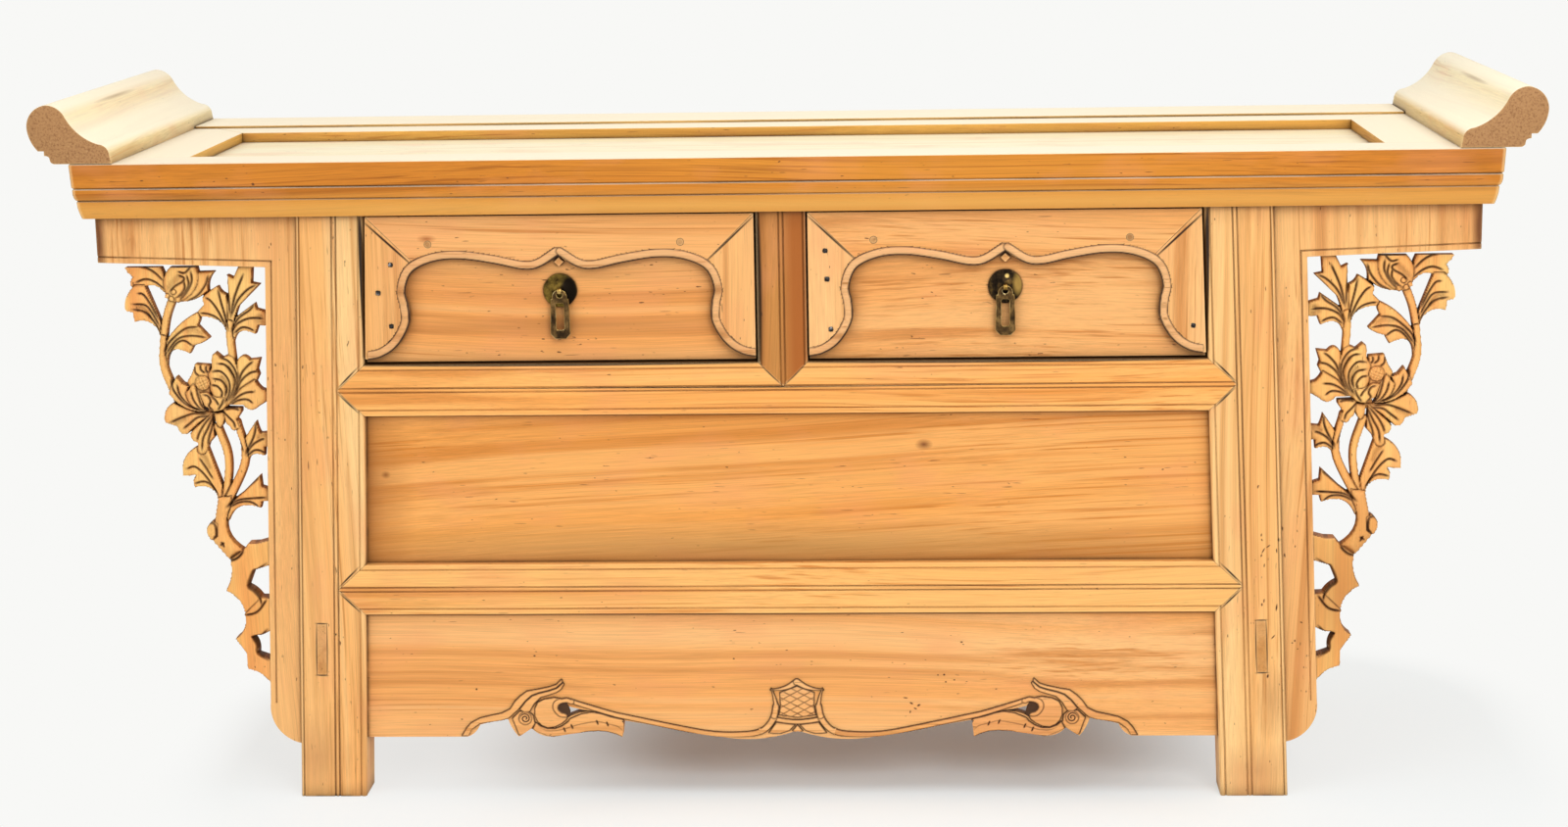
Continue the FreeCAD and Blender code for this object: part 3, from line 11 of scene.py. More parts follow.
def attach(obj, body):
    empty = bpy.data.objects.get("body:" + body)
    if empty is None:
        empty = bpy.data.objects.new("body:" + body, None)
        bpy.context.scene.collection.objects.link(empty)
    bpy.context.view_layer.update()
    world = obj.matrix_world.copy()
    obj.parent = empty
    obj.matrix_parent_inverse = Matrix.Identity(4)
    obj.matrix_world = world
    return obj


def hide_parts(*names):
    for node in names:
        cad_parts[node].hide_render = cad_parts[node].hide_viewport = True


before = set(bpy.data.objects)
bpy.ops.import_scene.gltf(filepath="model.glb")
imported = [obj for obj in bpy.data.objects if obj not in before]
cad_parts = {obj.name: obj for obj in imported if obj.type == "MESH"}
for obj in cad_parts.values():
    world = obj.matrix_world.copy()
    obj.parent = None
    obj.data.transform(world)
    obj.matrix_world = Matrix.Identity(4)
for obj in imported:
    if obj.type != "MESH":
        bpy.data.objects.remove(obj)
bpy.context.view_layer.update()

MM = 0.001

# Camera: its place and its reach in metres, its angles in degrees, its lens in millimetres

CAMERA_PLACE = (0.166, -3.446, 1.120)
CAMERA_REACH = 60.0
CAMERA_YAW = -2.94
CAMERA_PITCH = 11.55
CAMERA_ROLL = -1.01
CAMERA_LENS = 66.1


def make_camera():
    """Looks down at the coffer from the front, a little from its right."""
    yaw, pitch, roll = (math.radians(a) for a in (CAMERA_YAW, CAMERA_PITCH, CAMERA_ROLL))
    forward = Vector((math.sin(yaw) * math.cos(pitch), math.cos(yaw) * math.cos(pitch),
                      -math.sin(pitch)))
    level = Vector((math.cos(yaw), -math.sin(yaw), 0))
    upward = level.cross(forward)
    across = level * math.cos(roll) + upward * math.sin(roll)
    upright = upward * math.cos(roll) - level * math.sin(roll)
    camera = bpy.data.objects.new("camera", bpy.data.cameras.new("camera"))
    camera.data.lens = CAMERA_LENS
    camera.data.clip_end = CAMERA_REACH
    turn = Matrix((across, upright, -forward)).transposed().to_4x4()
    camera.matrix_world = Matrix.Translation(CAMERA_PLACE) @ turn
    bpy.context.collection.objects.link(camera)
    bpy.context.scene.camera = camera


make_camera()
bpy.context.scene.view_settings.view_transform = "Standard"


# Helpers for materials

def colour(code):
    """Linear colour, with alpha, from an sRGB hex code, by the standard's two-part curve."""
    parts = [int(code[i:i + 2], 16) / 255 for i in (1, 3, 5)]
    return [p / 12.92 if p <= 0.04045 else ((p + 0.055) / 1.055) ** 2.4 for p in parts] + [1.0]


def node(tree, kind, links=None, stops=None, **settings):
    """Adds one node with its settings, its colour stops, and its inputs' values or links."""
    made = tree.nodes.new(kind)
    for name, value in settings.items():
        setattr(made, name, value)
    if stops:
        ramp = made.color_ramp.elements
        while len(ramp) < len(stops):
            ramp.new(1.0)
        for element, (place, shade) in zip(ramp, stops):
            element.position = place
            element.color = shade
    for name, value in (links or {}).items():
        socket = made.inputs[name]
        if isinstance(value, bpy.types.NodeSocket):
            tree.links.new(value, socket)
        else:
            socket.default_value = value
    return made


def empty_tree(owner):
    """The node tree of a material or of the world, with nothing in it."""
    owner.use_nodes = True
    owner.node_tree.nodes.clear()
    return owner.node_tree


def new_material(name):
    """A material with its Principled shader linked to the output."""
    material = bpy.data.materials.new(name)
    tree = empty_tree(material)
    shader = node(tree, "ShaderNodeBsdfPrincipled")
    node(tree, "ShaderNodeOutputMaterial", {"Surface": shader.outputs["BSDF"]})
    return material, tree, shader


# The floor and the light: matt white paper, lit from all round, that fades into the backdrop, with
# light from the sides painted onto it under the table

BACKDROP_TONE = "#f8f8f6"
FLOOR_SIZE = 24.0
FLOOR_TONE = "#f2fbff"
PAPER_GLOW = 0.07       # what the lit paper adds where the camera sees it
SHADE_REACH = (0.56, 0.14, 10.0)    # half sizes of the area under the table that keeps its shade
SHADE_PLACE = (0.09, -0.02, 0.0)    # the middle of that area
SHADE_FADE = 0.32       # how far outside that area the shade is gone
PAINTED_SIDE_LIGHT = (0.20, 0.54, 0.74)     # painted side light: how far out it starts and is full, and its share
WORLD_LIGHT = 0.50      # the light from all round, as a share of the backdrop as it is seen
# Each lamp: name, place, watts and size in metres
LAMPS = [
    ("key", (1.2, -3.3, 2.2), 50, 1.5),
    ("fill", (-2.4, -2.8, 1.5), 14, 2.2),
    ("top", (0.1, -0.5, 2.9), 30, 2.0),
]
AIM = (0.0, 0.0, 0.45)


def seen_rays(tree):
    """One for rays that see the backdrop: from the camera, or off gloss, or through glass."""
    rays = node(tree, "ShaderNodeLightPath").outputs
    seen = node(tree, "ShaderNodeMath", {0: rays["Is Camera Ray"], 1: rays["Is Glossy Ray"]},
                operation="ADD")
    return node(tree, "ShaderNodeMath", {0: seen.outputs[0], 1: rays["Is Transmission Ray"]},
                operation="ADD", use_clamp=True).outputs[0]


def make_floor():
    """A pale studio floor that fades to white away from the table but keeps its shadow, thinned
    towards the sides by painted side light.
    """
    shape = bmesh.new()
    bmesh.ops.create_grid(shape, x_segments=1, y_segments=1, size=FLOOR_SIZE / 2)
    mesh = bpy.data.meshes.new("studio_floor")
    shape.to_mesh(mesh)
    shape.free()
    floor = bpy.data.objects.new("studio_floor", mesh)
    bpy.context.collection.objects.link(floor)
    material = bpy.data.materials.new("matt white studio paper")
    tree = empty_tree(material)
    paper = node(tree, "ShaderNodeBsdfDiffuse", {"Color": colour(FLOOR_TONE)})
    place = node(tree, "ShaderNodeTexCoord").outputs["Object"]
    off = node(tree, "ShaderNodeVectorMath", {0: place, 1: SHADE_PLACE}, operation="SUBTRACT")
    off = node(tree, "ShaderNodeVectorMath", {0: off.outputs[0]}, operation="ABSOLUTE")
    # Painted side light: towards its sides, the shadow under the table is painted over with white
    painted_side_share = node(tree, "ShaderNodeSeparateXYZ", {0: off.outputs[0]})
    start, full, most = PAINTED_SIDE_LIGHT
    painted_side_share = node(tree, "ShaderNodeMapRange", {"Value": painted_side_share.outputs["X"], "From Min": start,
                                              "From Max": full, "To Max": most},
                 interpolation_type="SMOOTHSTEP")
    off = node(tree, "ShaderNodeVectorMath", {0: off.outputs[0], 1: SHADE_REACH},
               operation="SUBTRACT")
    off = node(tree, "ShaderNodeVectorMath", {0: off.outputs[0], 1: (0, 0, 0)},
               operation="MAXIMUM")
    gone = node(tree, "ShaderNodeVectorMath", {0: off.outputs[0]}, operation="LENGTH")
    fade = node(tree, "ShaderNodeMapRange", {"Value": gone.outputs["Value"],
                                             "From Max": SHADE_FADE},
                interpolation_type="SMOOTHSTEP")
    white = node(tree, "ShaderNodeMath", {0: fade.outputs["Result"], 1: painted_side_share.outputs["Result"]},
                 operation="MAXIMUM")
    seen = seen_rays(tree)
    share = node(tree, "ShaderNodeMath", {0: seen, 1: white.outputs[0]}, operation="MULTIPLY")
    glow = node(tree, "ShaderNodeMath", {0: seen, 1: PAPER_GLOW}, operation="MULTIPLY")
    lit = node(tree, "ShaderNodeEmission", {"Strength": glow.outputs[0]})
    lit = node(tree, "ShaderNodeAddShader", {0: paper.outputs[0], 1: lit.outputs[0]})
    white = node(tree, "ShaderNodeEmission", {"Color": colour(BACKDROP_TONE), "Strength": 1.0})
    mixed = node(tree, "ShaderNodeMixShader", {0: share.outputs[0], 1: lit.outputs[0],
                                               2: white.outputs[0]})
    node(tree, "ShaderNodeOutputMaterial", {"Surface": mixed.outputs[0]})
    mesh.materials.append(material)


def make_light():
    """Even light from all round, and soft lamps that favour the front right and the top."""
    world = bpy.data.worlds.new("studio")
    bpy.context.scene.world = world
    tree = empty_tree(world)
    strength = node(tree, "ShaderNodeMapRange", {"Value": seen_rays(tree), "To Min": WORLD_LIGHT,
                                                 "To Max": 1.0})
    sky = node(tree, "ShaderNodeBackground", {"Color": colour(BACKDROP_TONE),
                                              "Strength": strength.outputs[0]})
    node(tree, "ShaderNodeOutputWorld", {"Surface": sky.outputs[0]})
    for name, place, watts, size in LAMPS:
        lamp = bpy.data.lights.new(name, "AREA")
        lamp.energy = watts
        lamp.size = size
        holder = bpy.data.objects.new(name, lamp)
        aim = (Vector(AIM) - Vector(place)).to_track_quat("-Z", "Y").to_matrix().to_4x4()
        holder.matrix_world = Matrix.Translation(place) @ aim
        bpy.context.collection.objects.link(holder)


make_floor()
make_light()


# Wood: stripped and bleached northern softwood, planed by hand and left dry. It shows soft bands
# as long as the board, thin dark growth lines in groups, a dull sheen that is duller on the dark
# bands, edges rubbed pale by hands and cloths with a painted highlight on them, upward faces
# painted paler as if lit from above, painted shade in its recesses, and old dirt that no cleaning
# reached, with painted shade in its corners

AXES = {"x": 0, "y": 1, "z": 2}
SOFTWOOD_SHINE = 0.25
SHEEN = (0.62, 0.46)        # roughness of the dark bands and of the pale ones

# How long each pattern is along the grain and how wide across it, in millimetres
BROAD_TONES = (1500, 75)
SOFT_BANDS = (2600, 15)
LINE_GROUPS = (900, 40)
GROWTH_LINES = (1500, 3.2)      # twice as coarse as the real ones, so that they show
FIBRES = (120, 1.2)             # real fibres are too fine to show
HAND_PATCHES = (90, 45)
PITS = (9, 3.0)
SPLINTERS = (28, 1.6)
DIRT_BREAKS = (220, 30)
SPECKS = 1000 / 380             # rough end grain, coarser than its cells, so that it shows
WAVES = (1000 / 1.2, 1000 / 1.8)    # slow waves, and how far they bend the lines, in metres
WAVE_SWAY = 0.07

ROSY = "#ee9a66"
PIT = "#5c3319"
END_GRAIN = ("#7d4f2b", "#b98a58", "#e4c8a2")
BLEACHED_AND_TOP_LIT = "#fdf1d6"
WORN_EDGE_AND_HIGHLIGHT = "#ffd494"
DEEP_SHADE = "#6b4618"
CARVED_SHADE = "#a85a24"
CARVED_FLANK_SHADE = "#8f4a1c"
DIRT_AND_SHADE_TONE = "#321a0b"

# How near another face has to be, in metres, for painted shade, a worn edge with its painted
# highlight, or dirt and painted shade in a corner
SHADE_DISTANCE = 0.022
EDGE_DISTANCE = 0.003
CORNER_DISTANCE = 0.0045
NEAR_RAYS = 5
FIBRE_DEPTH = 0.0004
LINE_DEPTH = 0.0008
# How much of its corner dirt and painted shade a piece shows away from its soiled places, and how
# fast that grows there
UNSOILED = 0.45
SOILING = 3.0


def wood(name, grain, tones, seed, bleach_and_top_light=0.0, streak=1.0, breaks=0.7, tilt=0.0, marks=(),
         end=None, carved=0.0, worn=1.0, soiled=()):
    """Old softwood with its grain along one axis, in dark, middle and pale tones. Upward faces may
    be paler, partly bleached and partly painted top light, and the ends sawn. Marks stain places
    or
    paint shade: each has its centre, size, tone, strength and perhaps its turn. Painted shade
    fills recesses and the side walls of carved forms, and edges are rubbed pale with a painted
    highlight, as much as worn says. Dirt, with painted shade in the corners, may break off, or
    keep to soiled places, and a carved piece keeps it beside its raised forms."""
    material, tree, shader = new_material(name)
    axis = AXES[grain]
    place = node(tree, "ShaderNodeTexCoord").outputs["Object"]
    normal = node(tree, "ShaderNodeNewGeometry").outputs["Normal"]
    facing = node(tree, "ShaderNodeSeparateXYZ", {0: normal}).outputs
    shift = (seed * 1.37, seed * 2.11, seed * 0.73)

    def pattern(size, source, detail=1.0, roughness=0.5):
        """Noise stretched along the grain, of a length and width in millimetres."""
        along, across = size
        scale = [1000 / (along if i == axis else across) for i in range(3)]
        mapped = node(tree, "ShaderNodeMapping", {"Vector": source, "Location": shift,
                                                  "Scale": scale})
        return node(tree, "ShaderNodeTexNoise", {
            "Vector": mapped.outputs[0], "Scale": 1.0, "Detail": detail,
            "Roughness": roughness}).outputs["Fac"]

    def ball(centre, size, turn=0.0):
        """One at a place, falling away to nothing at the edge of an ellipsoid about it."""
        mapped = node(tree, "ShaderNodeMapping", {
            "Vector": place, "Location": centre, "Rotation": (0, turn, 0), "Scale": size},
            vector_type="TEXTURE")
        return node(tree, "ShaderNodeTexGradient", {"Vector": mapped.outputs[0]},
                    gradient_type="SPHERICAL").outputs["Fac"]

    def tinted(tone, shade, value, low, high, strength=1.0, mask=1.0):
        """The tone, with a shade laid over it as a value runs from low to high, within a mask."""
        share = node(tree, "ShaderNodeMapRange", {"Value": value, "From Min": low,
                                                  "From Max": high, "To Max": strength})
        share = node(tree, "ShaderNodeMath", {0: share.outputs[0], 1: mask},
                     operation="MULTIPLY", use_clamp=True)
        return node(tree, "ShaderNodeMix", {0: share.outputs[0], 6: tone, 7: shade},
                    data_type="RGBA").outputs[2]

    dark, middle, pale = (colour(tone) for tone in tones)
    # The board was not cut quite along its grain, and slow waves bend its lines
    turned = node(tree, "ShaderNodeMapping", {"Vector": place, "Rotation": (0, tilt, 0)})
    waves = node(tree, "ShaderNodeMapping", {
        "Vector": place, "Location": shift,
        "Scale": [1000 / WAVES[0 if i == axis else 1] for i in range(3)]})
    waves = node(tree, "ShaderNodeTexNoise", {"Vector": waves.outputs[0], "Scale": 1.0,
                                              "Detail": 1.0}).outputs["Color"]
    waves = node(tree, "ShaderNodeVectorMath", {0: waves, 1: (0.5, 0.5, 0.5)},
                 operation="SUBTRACT").outputs[0]
    swayed = node(tree, "ShaderNodeVectorMath", {
        0: waves, 1: [0 if i == axis else WAVE_SWAY for i in range(3)], 2: turned.outputs[0]},
        operation="MULTIPLY_ADD").outputs[0]

    tone = tinted(middle, pale, pattern(BROAD_TONES, swayed), 0.38, 0.62)
    bands = pattern(SOFT_BANDS, swayed)
    tone = tinted(tone, dark, bands, 0.46, 0.28, 0.72 * streak)
    tone = tinted(tone, pale, bands, 0.56, 0.70, 0.60)
    lines = pattern(GROWTH_LINES, swayed, detail=2.0)
    grouped = node(tree, "ShaderNodeMapRange", {"Value": pattern(LINE_GROUPS, swayed),
                                                "From Min": 0.42, "From Max": 0.58})
    tone = tinted(tone, dark, lines, 0.54, 0.68, 0.85 * streak, grouped.outputs[0])
    fibre = pattern(FIBRES, swayed, detail=3.0, roughness=0.7)
    depth = node(tree, "ShaderNodeMapRange", {"Value": fibre, "From Min": 0.30, "From Max": 0.70,
                                              "To Min": 0.84, "To Max": 1.12})
    tone = node(tree, "ShaderNodeMix", {0: 1.0, 6: tone, 7: depth.outputs[0]},
                data_type="RGBA", blend_type="MULTIPLY").outputs[2]
    # Rosy patches as broad as a hand, with pits and splinter marks in them
    patch = pattern(HAND_PATCHES, place, detail=2.0)
    tone = tinted(tone, colour(ROSY), patch, 0.52, 0.72, 0.28)
    worked = node(tree, "ShaderNodeMapRange", {"Value": patch, "From Min": 0.44, "From Max": 0.54})
    for size, strength in ((PITS, 0.9), (SPLINTERS, 0.75)):
        tone = tinted(tone, colour(PIT), pattern(size, place), 0.74, 0.78, strength,
                      worked.outputs[0])
    # Upward faces paler: partly sun bleaching, partly painted top light
    if bleach_and_top_light:
        tone = tinted(tone, colour(BLEACHED_AND_TOP_LIT), facing["Z"], 0.25, 0.8, bleach_and_top_light)
    for centre, size, shade, strength, *turn in marks:
        tone = tinted(tone, colour(shade), ball(centre, size, *turn), 0, 1 / strength)
    if end:
        dark_cell, pale_cell, bright_cell = (colour(cell) for cell in END_GRAIN)
        side = node(tree, "ShaderNodeMath", {0: facing[axis]}, operation="ABSOLUTE").outputs[0]
        speck = node(tree, "ShaderNodeTexNoise", {
            "Vector": place, "Scale": 1000 / SPECKS, "Detail": 5.0,
            "Roughness": 0.75}).outputs["Fac"]
        cut = node(tree, "ShaderNodeValToRGB", {"Fac": speck}, stops=[
            (0.30, dark_cell), (0.50, colour(end)), (0.66, pale_cell), (0.74, bright_cell)])
        tone = tinted(tone, cut.outputs[0], side, 0.80, 0.95)
    # Painted shade in recesses and beside whatever stands over a face
    shade = node(tree, "ShaderNodeAmbientOcclusion", {"Distance": SHADE_DISTANCE},
                 samples=NEAR_RAYS).outputs["AO"]
    tone = tinted(tone, colour(CARVED_SHADE if carved else DEEP_SHADE), shade, 0.92, 0.42, 0.65)
    # Edges paler: rubbed wear, and a painted highlight where they catch the light
    rubbed = node(tree, "ShaderNodeAmbientOcclusion", {"Distance": EDGE_DISTANCE},
                  samples=NEAR_RAYS, inside=True, only_local=True).outputs["AO"]
    tone = tinted(tone, colour(WORN_EDGE_AND_HIGHLIGHT), rubbed, 0.80, 0.35, 0.55 * worn)
    if carved:
        # Painted shade on the side walls of carved forms, which face across rather than to the
        # front
        flank_shade_mask = node(tree, "ShaderNodeMath", {0: facing["Y"]}, operation="ABSOLUTE").outputs[0]
        tone = tinted(tone, colour(CARVED_FLANK_SHADE), flank_shade_mask, 0.60, 0.10, 0.75 * carved)
        # The relief's dark: old dirt by its forms, and painted shade in the scroll's hole and
        # beside the arch bead
        soil = node(tree, "ShaderNodeAttribute", attribute_name="dirt").outputs["Fac"]
        tone = tinted(tone, colour(DIRT_AND_SHADE_TONE), soil, 0, 1, 0.95 * carved)
    # Dark in corners and joints: old dirt, partly painted shade
    corner = node(tree, "ShaderNodeAmbientOcclusion", {"Distance": CORNER_DISTANCE},
                  samples=NEAR_RAYS).outputs["AO"]
    held = node(tree, "ShaderNodeMapRange", {
        "Value": pattern(DIRT_BREAKS, place, detail=2.0), "From Min": 0.38, "From Max": 0.58,
        "To Min": 1 - breaks, "To Max": 1.1}).outputs[0]
    spread = UNSOILED
    for where in soiled:
        spread = node(tree, "ShaderNodeMath", {0: ball(*where), 1: SOILING, 2: spread},
                      operation="MULTIPLY_ADD", use_clamp=True).outputs[0]
    if soiled:
        held = node(tree, "ShaderNodeMath", {0: held, 1: spread}, operation="MULTIPLY").outputs[0]
    tone = tinted(tone, colour(DIRT_AND_SHADE_TONE), corner, 0.88, 0.46, 1.0, held)
    tree.links.new(tone, shader.inputs["Base Color"])
    shader.inputs["Specular IOR Level"].default_value = SOFTWOOD_SHINE
    sheen = node(tree, "ShaderNodeMapRange", {"Value": bands, "To Min": SHEEN[0],
                                              "To Max": SHEEN[1]})
    tree.links.new(sheen.outputs[0], shader.inputs["Roughness"])
    relief = node(tree, "ShaderNodeBump", {"Height": fibre, "Distance": FIBRE_DEPTH,
                                           "Strength": 0.3})
    relief = node(tree, "ShaderNodeBump", {"Height": lines, "Distance": LINE_DEPTH,
                                           "Strength": 0.25, "Normal": relief.outputs[0]})
    tree.links.new(relief.outputs[0], shader.inputs["Normal"])
    return material


# Low relief: a fine mesh cut to the union of some outlines and raised by what it carries

def smooth_line(points, steps=5):
    """A smooth open line through a few points."""
    points = [np.array(p, float) for p in points]
    ends = [2 * points[0] - points[1]] + points + [2 * points[-1] - points[-2]]
    line = []
    for before, start, end, after in zip(ends, ends[1:], ends[2:], ends[3:]):
        for t in np.arange(steps) / steps:
            line.append(0.5 * (2 * start + (end - before) * t
                               + (2 * before - 5 * start + 4 * end - after) * t ** 2
                               + (3 * start - before - 3 * end + after) * t ** 3))
    return np.array(line + [points[-1]])


def nearest(points, line):
    """For each point: its distance to a line of short runs, the nearest place, and its share."""
    start, run = line[:-1], np.diff(line, axis=0)
    offset = points[:, None] - start[None]
    along = np.clip((offset * run).sum(2) / np.maximum((run ** 2).sum(1), 1e-12), 0, 1)
    gap = np.linalg.norm(offset - along[..., None] * run, axis=2)
    best = gap.argmin(1)
    rows = np.arange(len(points))
    share = (best + along[rows, best]) / len(run)
    return gap[rows, best], start[best] + along[rows, best, None] * run[best], share


def within(points, line, half_start, half_end):
    """How far inside a tapered rib about a line each point lies, and the rib's nearest edge."""
    gap, place, share = nearest(points, line)
    half = half_start + (half_end - half_start) * share
    outward = (points - place) / np.maximum(gap, 1e-9)[:, None]
    return half - gap, place + outward * half[:, None]


def inside(points, outline):
    """How far inside a closed outline each point lies, and the outline's nearest place."""
    closed = np.vstack([outline, outline[:1]])
    gap, place, _ = nearest(points, closed)
    x, z = points[:, :1], points[:, 1:]
    x0, z0, x1, z1 = closed[:-1, 0], closed[:-1, 1], closed[1:, 0], closed[1:, 1]
    level = np.where(z1 == z0, 1e-12, z1 - z0)
    crossed = ((z0 > z) != (z1 > z)) & (x < x0 + (z - z0) * (x1 - x0) / level)
    return np.where(crossed.sum(1) % 2, gap, -gap), place


# Sizes of the relief in millimetres, and its dirt as shares
FAR = -99.0
FORM_MARGIN = 3.0
DIRT_WIDTH = 1.4        # how far old dirt spreads beside a raised edge
EDGE_DIRT = 0.8         # the dirt on the raised edge itself, and how far it reaches in
EDGE_DIRT_WIDTH = 0.9
CUT_START = 0.35        # a cut's depth at its ends, how fast it deepens, and its section
CUT_TAPER = 6
CUT_CURVE = 1.3
CUT_DIRT = 1.5
RIM_DIRT = 1.4


class Relief:
    """A carved surface in millimetres: what it covers, and how high it stands."""

    def __init__(self, low, high, step):
        self.low, self.high, self.step = np.array(low, float), np.array(high, float), step
        self.shape = bmesh.new()
        self.soil = self.shape.verts.layers.float.new("dirt")
        cells = [int(round(s)) for s in (self.high - self.low) / step]
        bmesh.ops.create_grid(self.shape, x_segments=cells[0], y_segments=cells[1], size=0.5)
        flat = np.array([v.co[:2] for v in self.shape.verts]) + 0.5
        self.points = self.low + flat * (self.high - self.low)
        self.reach = np.full(len(flat), FAR)
        self.edge = self.points.copy()
        self.height = np.zeros(len(flat))
        self.dirt = np.zeros(len(flat))

    def near(self, line, spread):
        """The numbers of the points within a spread of a line's box."""
        return np.all((self.points > line.min(0) - spread)
                      & (self.points < line.max(0) + spread), axis=1).nonzero()[0]

    def raise_form(self, form, line, *sizes, lift, dome, soft, soil=1.0):
        """Lays a form over what is there: its edge at the lift, its middle rounded up by the
        dome, which is full where the form is soft enough in, and dirt round its foot."""
        near = self.near(line, FORM_MARGIN + (max(sizes) if sizes else 0))
        depth, edge = form(self.points[near], line, *sizes)
        rise = np.clip(depth / soft, 0, 1)
        height = lift + dome * np.sqrt(1 - (1 - rise) ** 2)
        share = np.clip(depth / self.step + 0.5, 0, 1)
        self.height[near] += (height - self.height[near]) * share
        beside = np.where(self.reach[near] > 0, np.clip(1 + depth / DIRT_WIDTH, 0, 1), 0)
        on_edge = np.clip(EDGE_DIRT - depth / EDGE_DIRT_WIDTH, 0, 1)
        self.dirt[near] = np.where(depth > 0, soil * on_edge,
                                   np.maximum(self.dirt[near], soil * beside))
        nearer = depth > self.reach[near]
        self.edge[near[nearer]] = edge[nearer]
        self.reach[near[nearer]] = depth[nearer]

    def cut(self, line, width, depth, soil=1.0):
        """Cuts a groove along a line."""
        near = self.near(line, width + self.step)
        gap, _, share = nearest(self.points[near], line)
        fade = np.clip(np.minimum(share, 1 - share) * CUT_TAPER + CUT_START, 0, 1)
        cut = fade * np.clip(1 - gap / width, 0, 1)
        self.height[near] -= depth * cut ** CUT_CURVE
        soil = soil * min(depth, 1) * np.clip(CUT_DIRT * cut, 0, 1)
        self.dirt[near] = np.maximum(self.dirt[near], soil)

    def soil_rim(self, width):
        """Dirt along the outer edge, where the form meets the board that it is cut from."""
        self.dirt = np.maximum(self.dirt, np.clip(RIM_DIRT - self.reach / width, 0, 1))

    def bound(self, limit):
        """Keeps the relief on one side of a border; limit gives the distance and the place."""
        depth, edge = limit(self.points)
        nearer = depth < self.reach
        self.reach[nearer] = depth[nearer]
        self.edge[nearer] = edge[nearer]

    def finished(self, back, mirror_x=False):
        """Cuts the mesh to its outline, raises it and closes it down to a flat back."""
        shape = self.shape
        verts = list(shape.verts)
        outside = [f for f in shape.faces
                   if np.mean([self.reach[v.index] for v in f.verts]) <= 0]
        index = {v: i for i, v in enumerate(verts)}
        bmesh.ops.delete(shape, geom=outside, context="FACES")
        for vert in shape.verts:
            i = index[vert]
            x, z = self.edge[i] if vert.is_boundary else self.points[i]
            vert.co = (x * MM, back * MM, z * MM)
        fronts = {vert: self.height[index[vert]] for vert in shape.verts}
        for vert in shape.verts:
            vert[self.soil] = self.dirt[index[vert]]
        raised = bmesh.ops.extrude_face_region(shape, geom=list(shape.faces))["geom"]
        raised = [v for v in raised if isinstance(v, bmesh.types.BMVert)]
        tops = {tuple(round(c, 7) for c in v.co): h for v, h in fronts.items()}
        for vert in raised:
            vert.co.y -= tops[tuple(round(c, 7) for c in vert.co)] * MM
        if mirror_x:
            bmesh.ops.scale(shape, vec=(-1, 1, 1), verts=shape.verts)
        bmesh.ops.recalc_face_normals(shape, faces=shape.faces)
        return shape


def add_piece(name, shape, material, body, sharp=40, replaced=()):
    """Makes a piece of a bmesh: smooth but for sharp edges, finished, and riding on a body."""
    mesh = bpy.data.meshes.new(name)
    for face in shape.faces:
        face.smooth = True
    shape.to_mesh(mesh)
    shape.free()
    mesh.set_sharp_from_angle(angle=math.radians(sharp))
    piece = bpy.data.objects.new(name, mesh)
    bpy.context.collection.objects.link(piece)
    mesh.materials.append(material)
    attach(piece, body)
    if replaced:
        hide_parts(*replaced)
    return piece


# The carved spandrels. Places are shares: u outwards from the bracket's arm, v down from its
# corner, and the third number of an outline is the bulge of the side that follows

LEG_TOP_OUT = 553.0
LEG_TOP_HEIGHT = 694.0
LEG_LEAN = 28.0 / 694.0
ARM_WIDTH = 37.0
CARVE_TOP = 634.0
CARVE_WIDTH = 162.98
CARVE_HEIGHT = 502.0
CARVE_TALL = 3.08
CARVE_BACK = -194.0
CARVE_STEP = 1.0
CARVE_LOW = (588, 130)
CARVE_HIGH = (757, 636)
CURVE_RUNS = 8

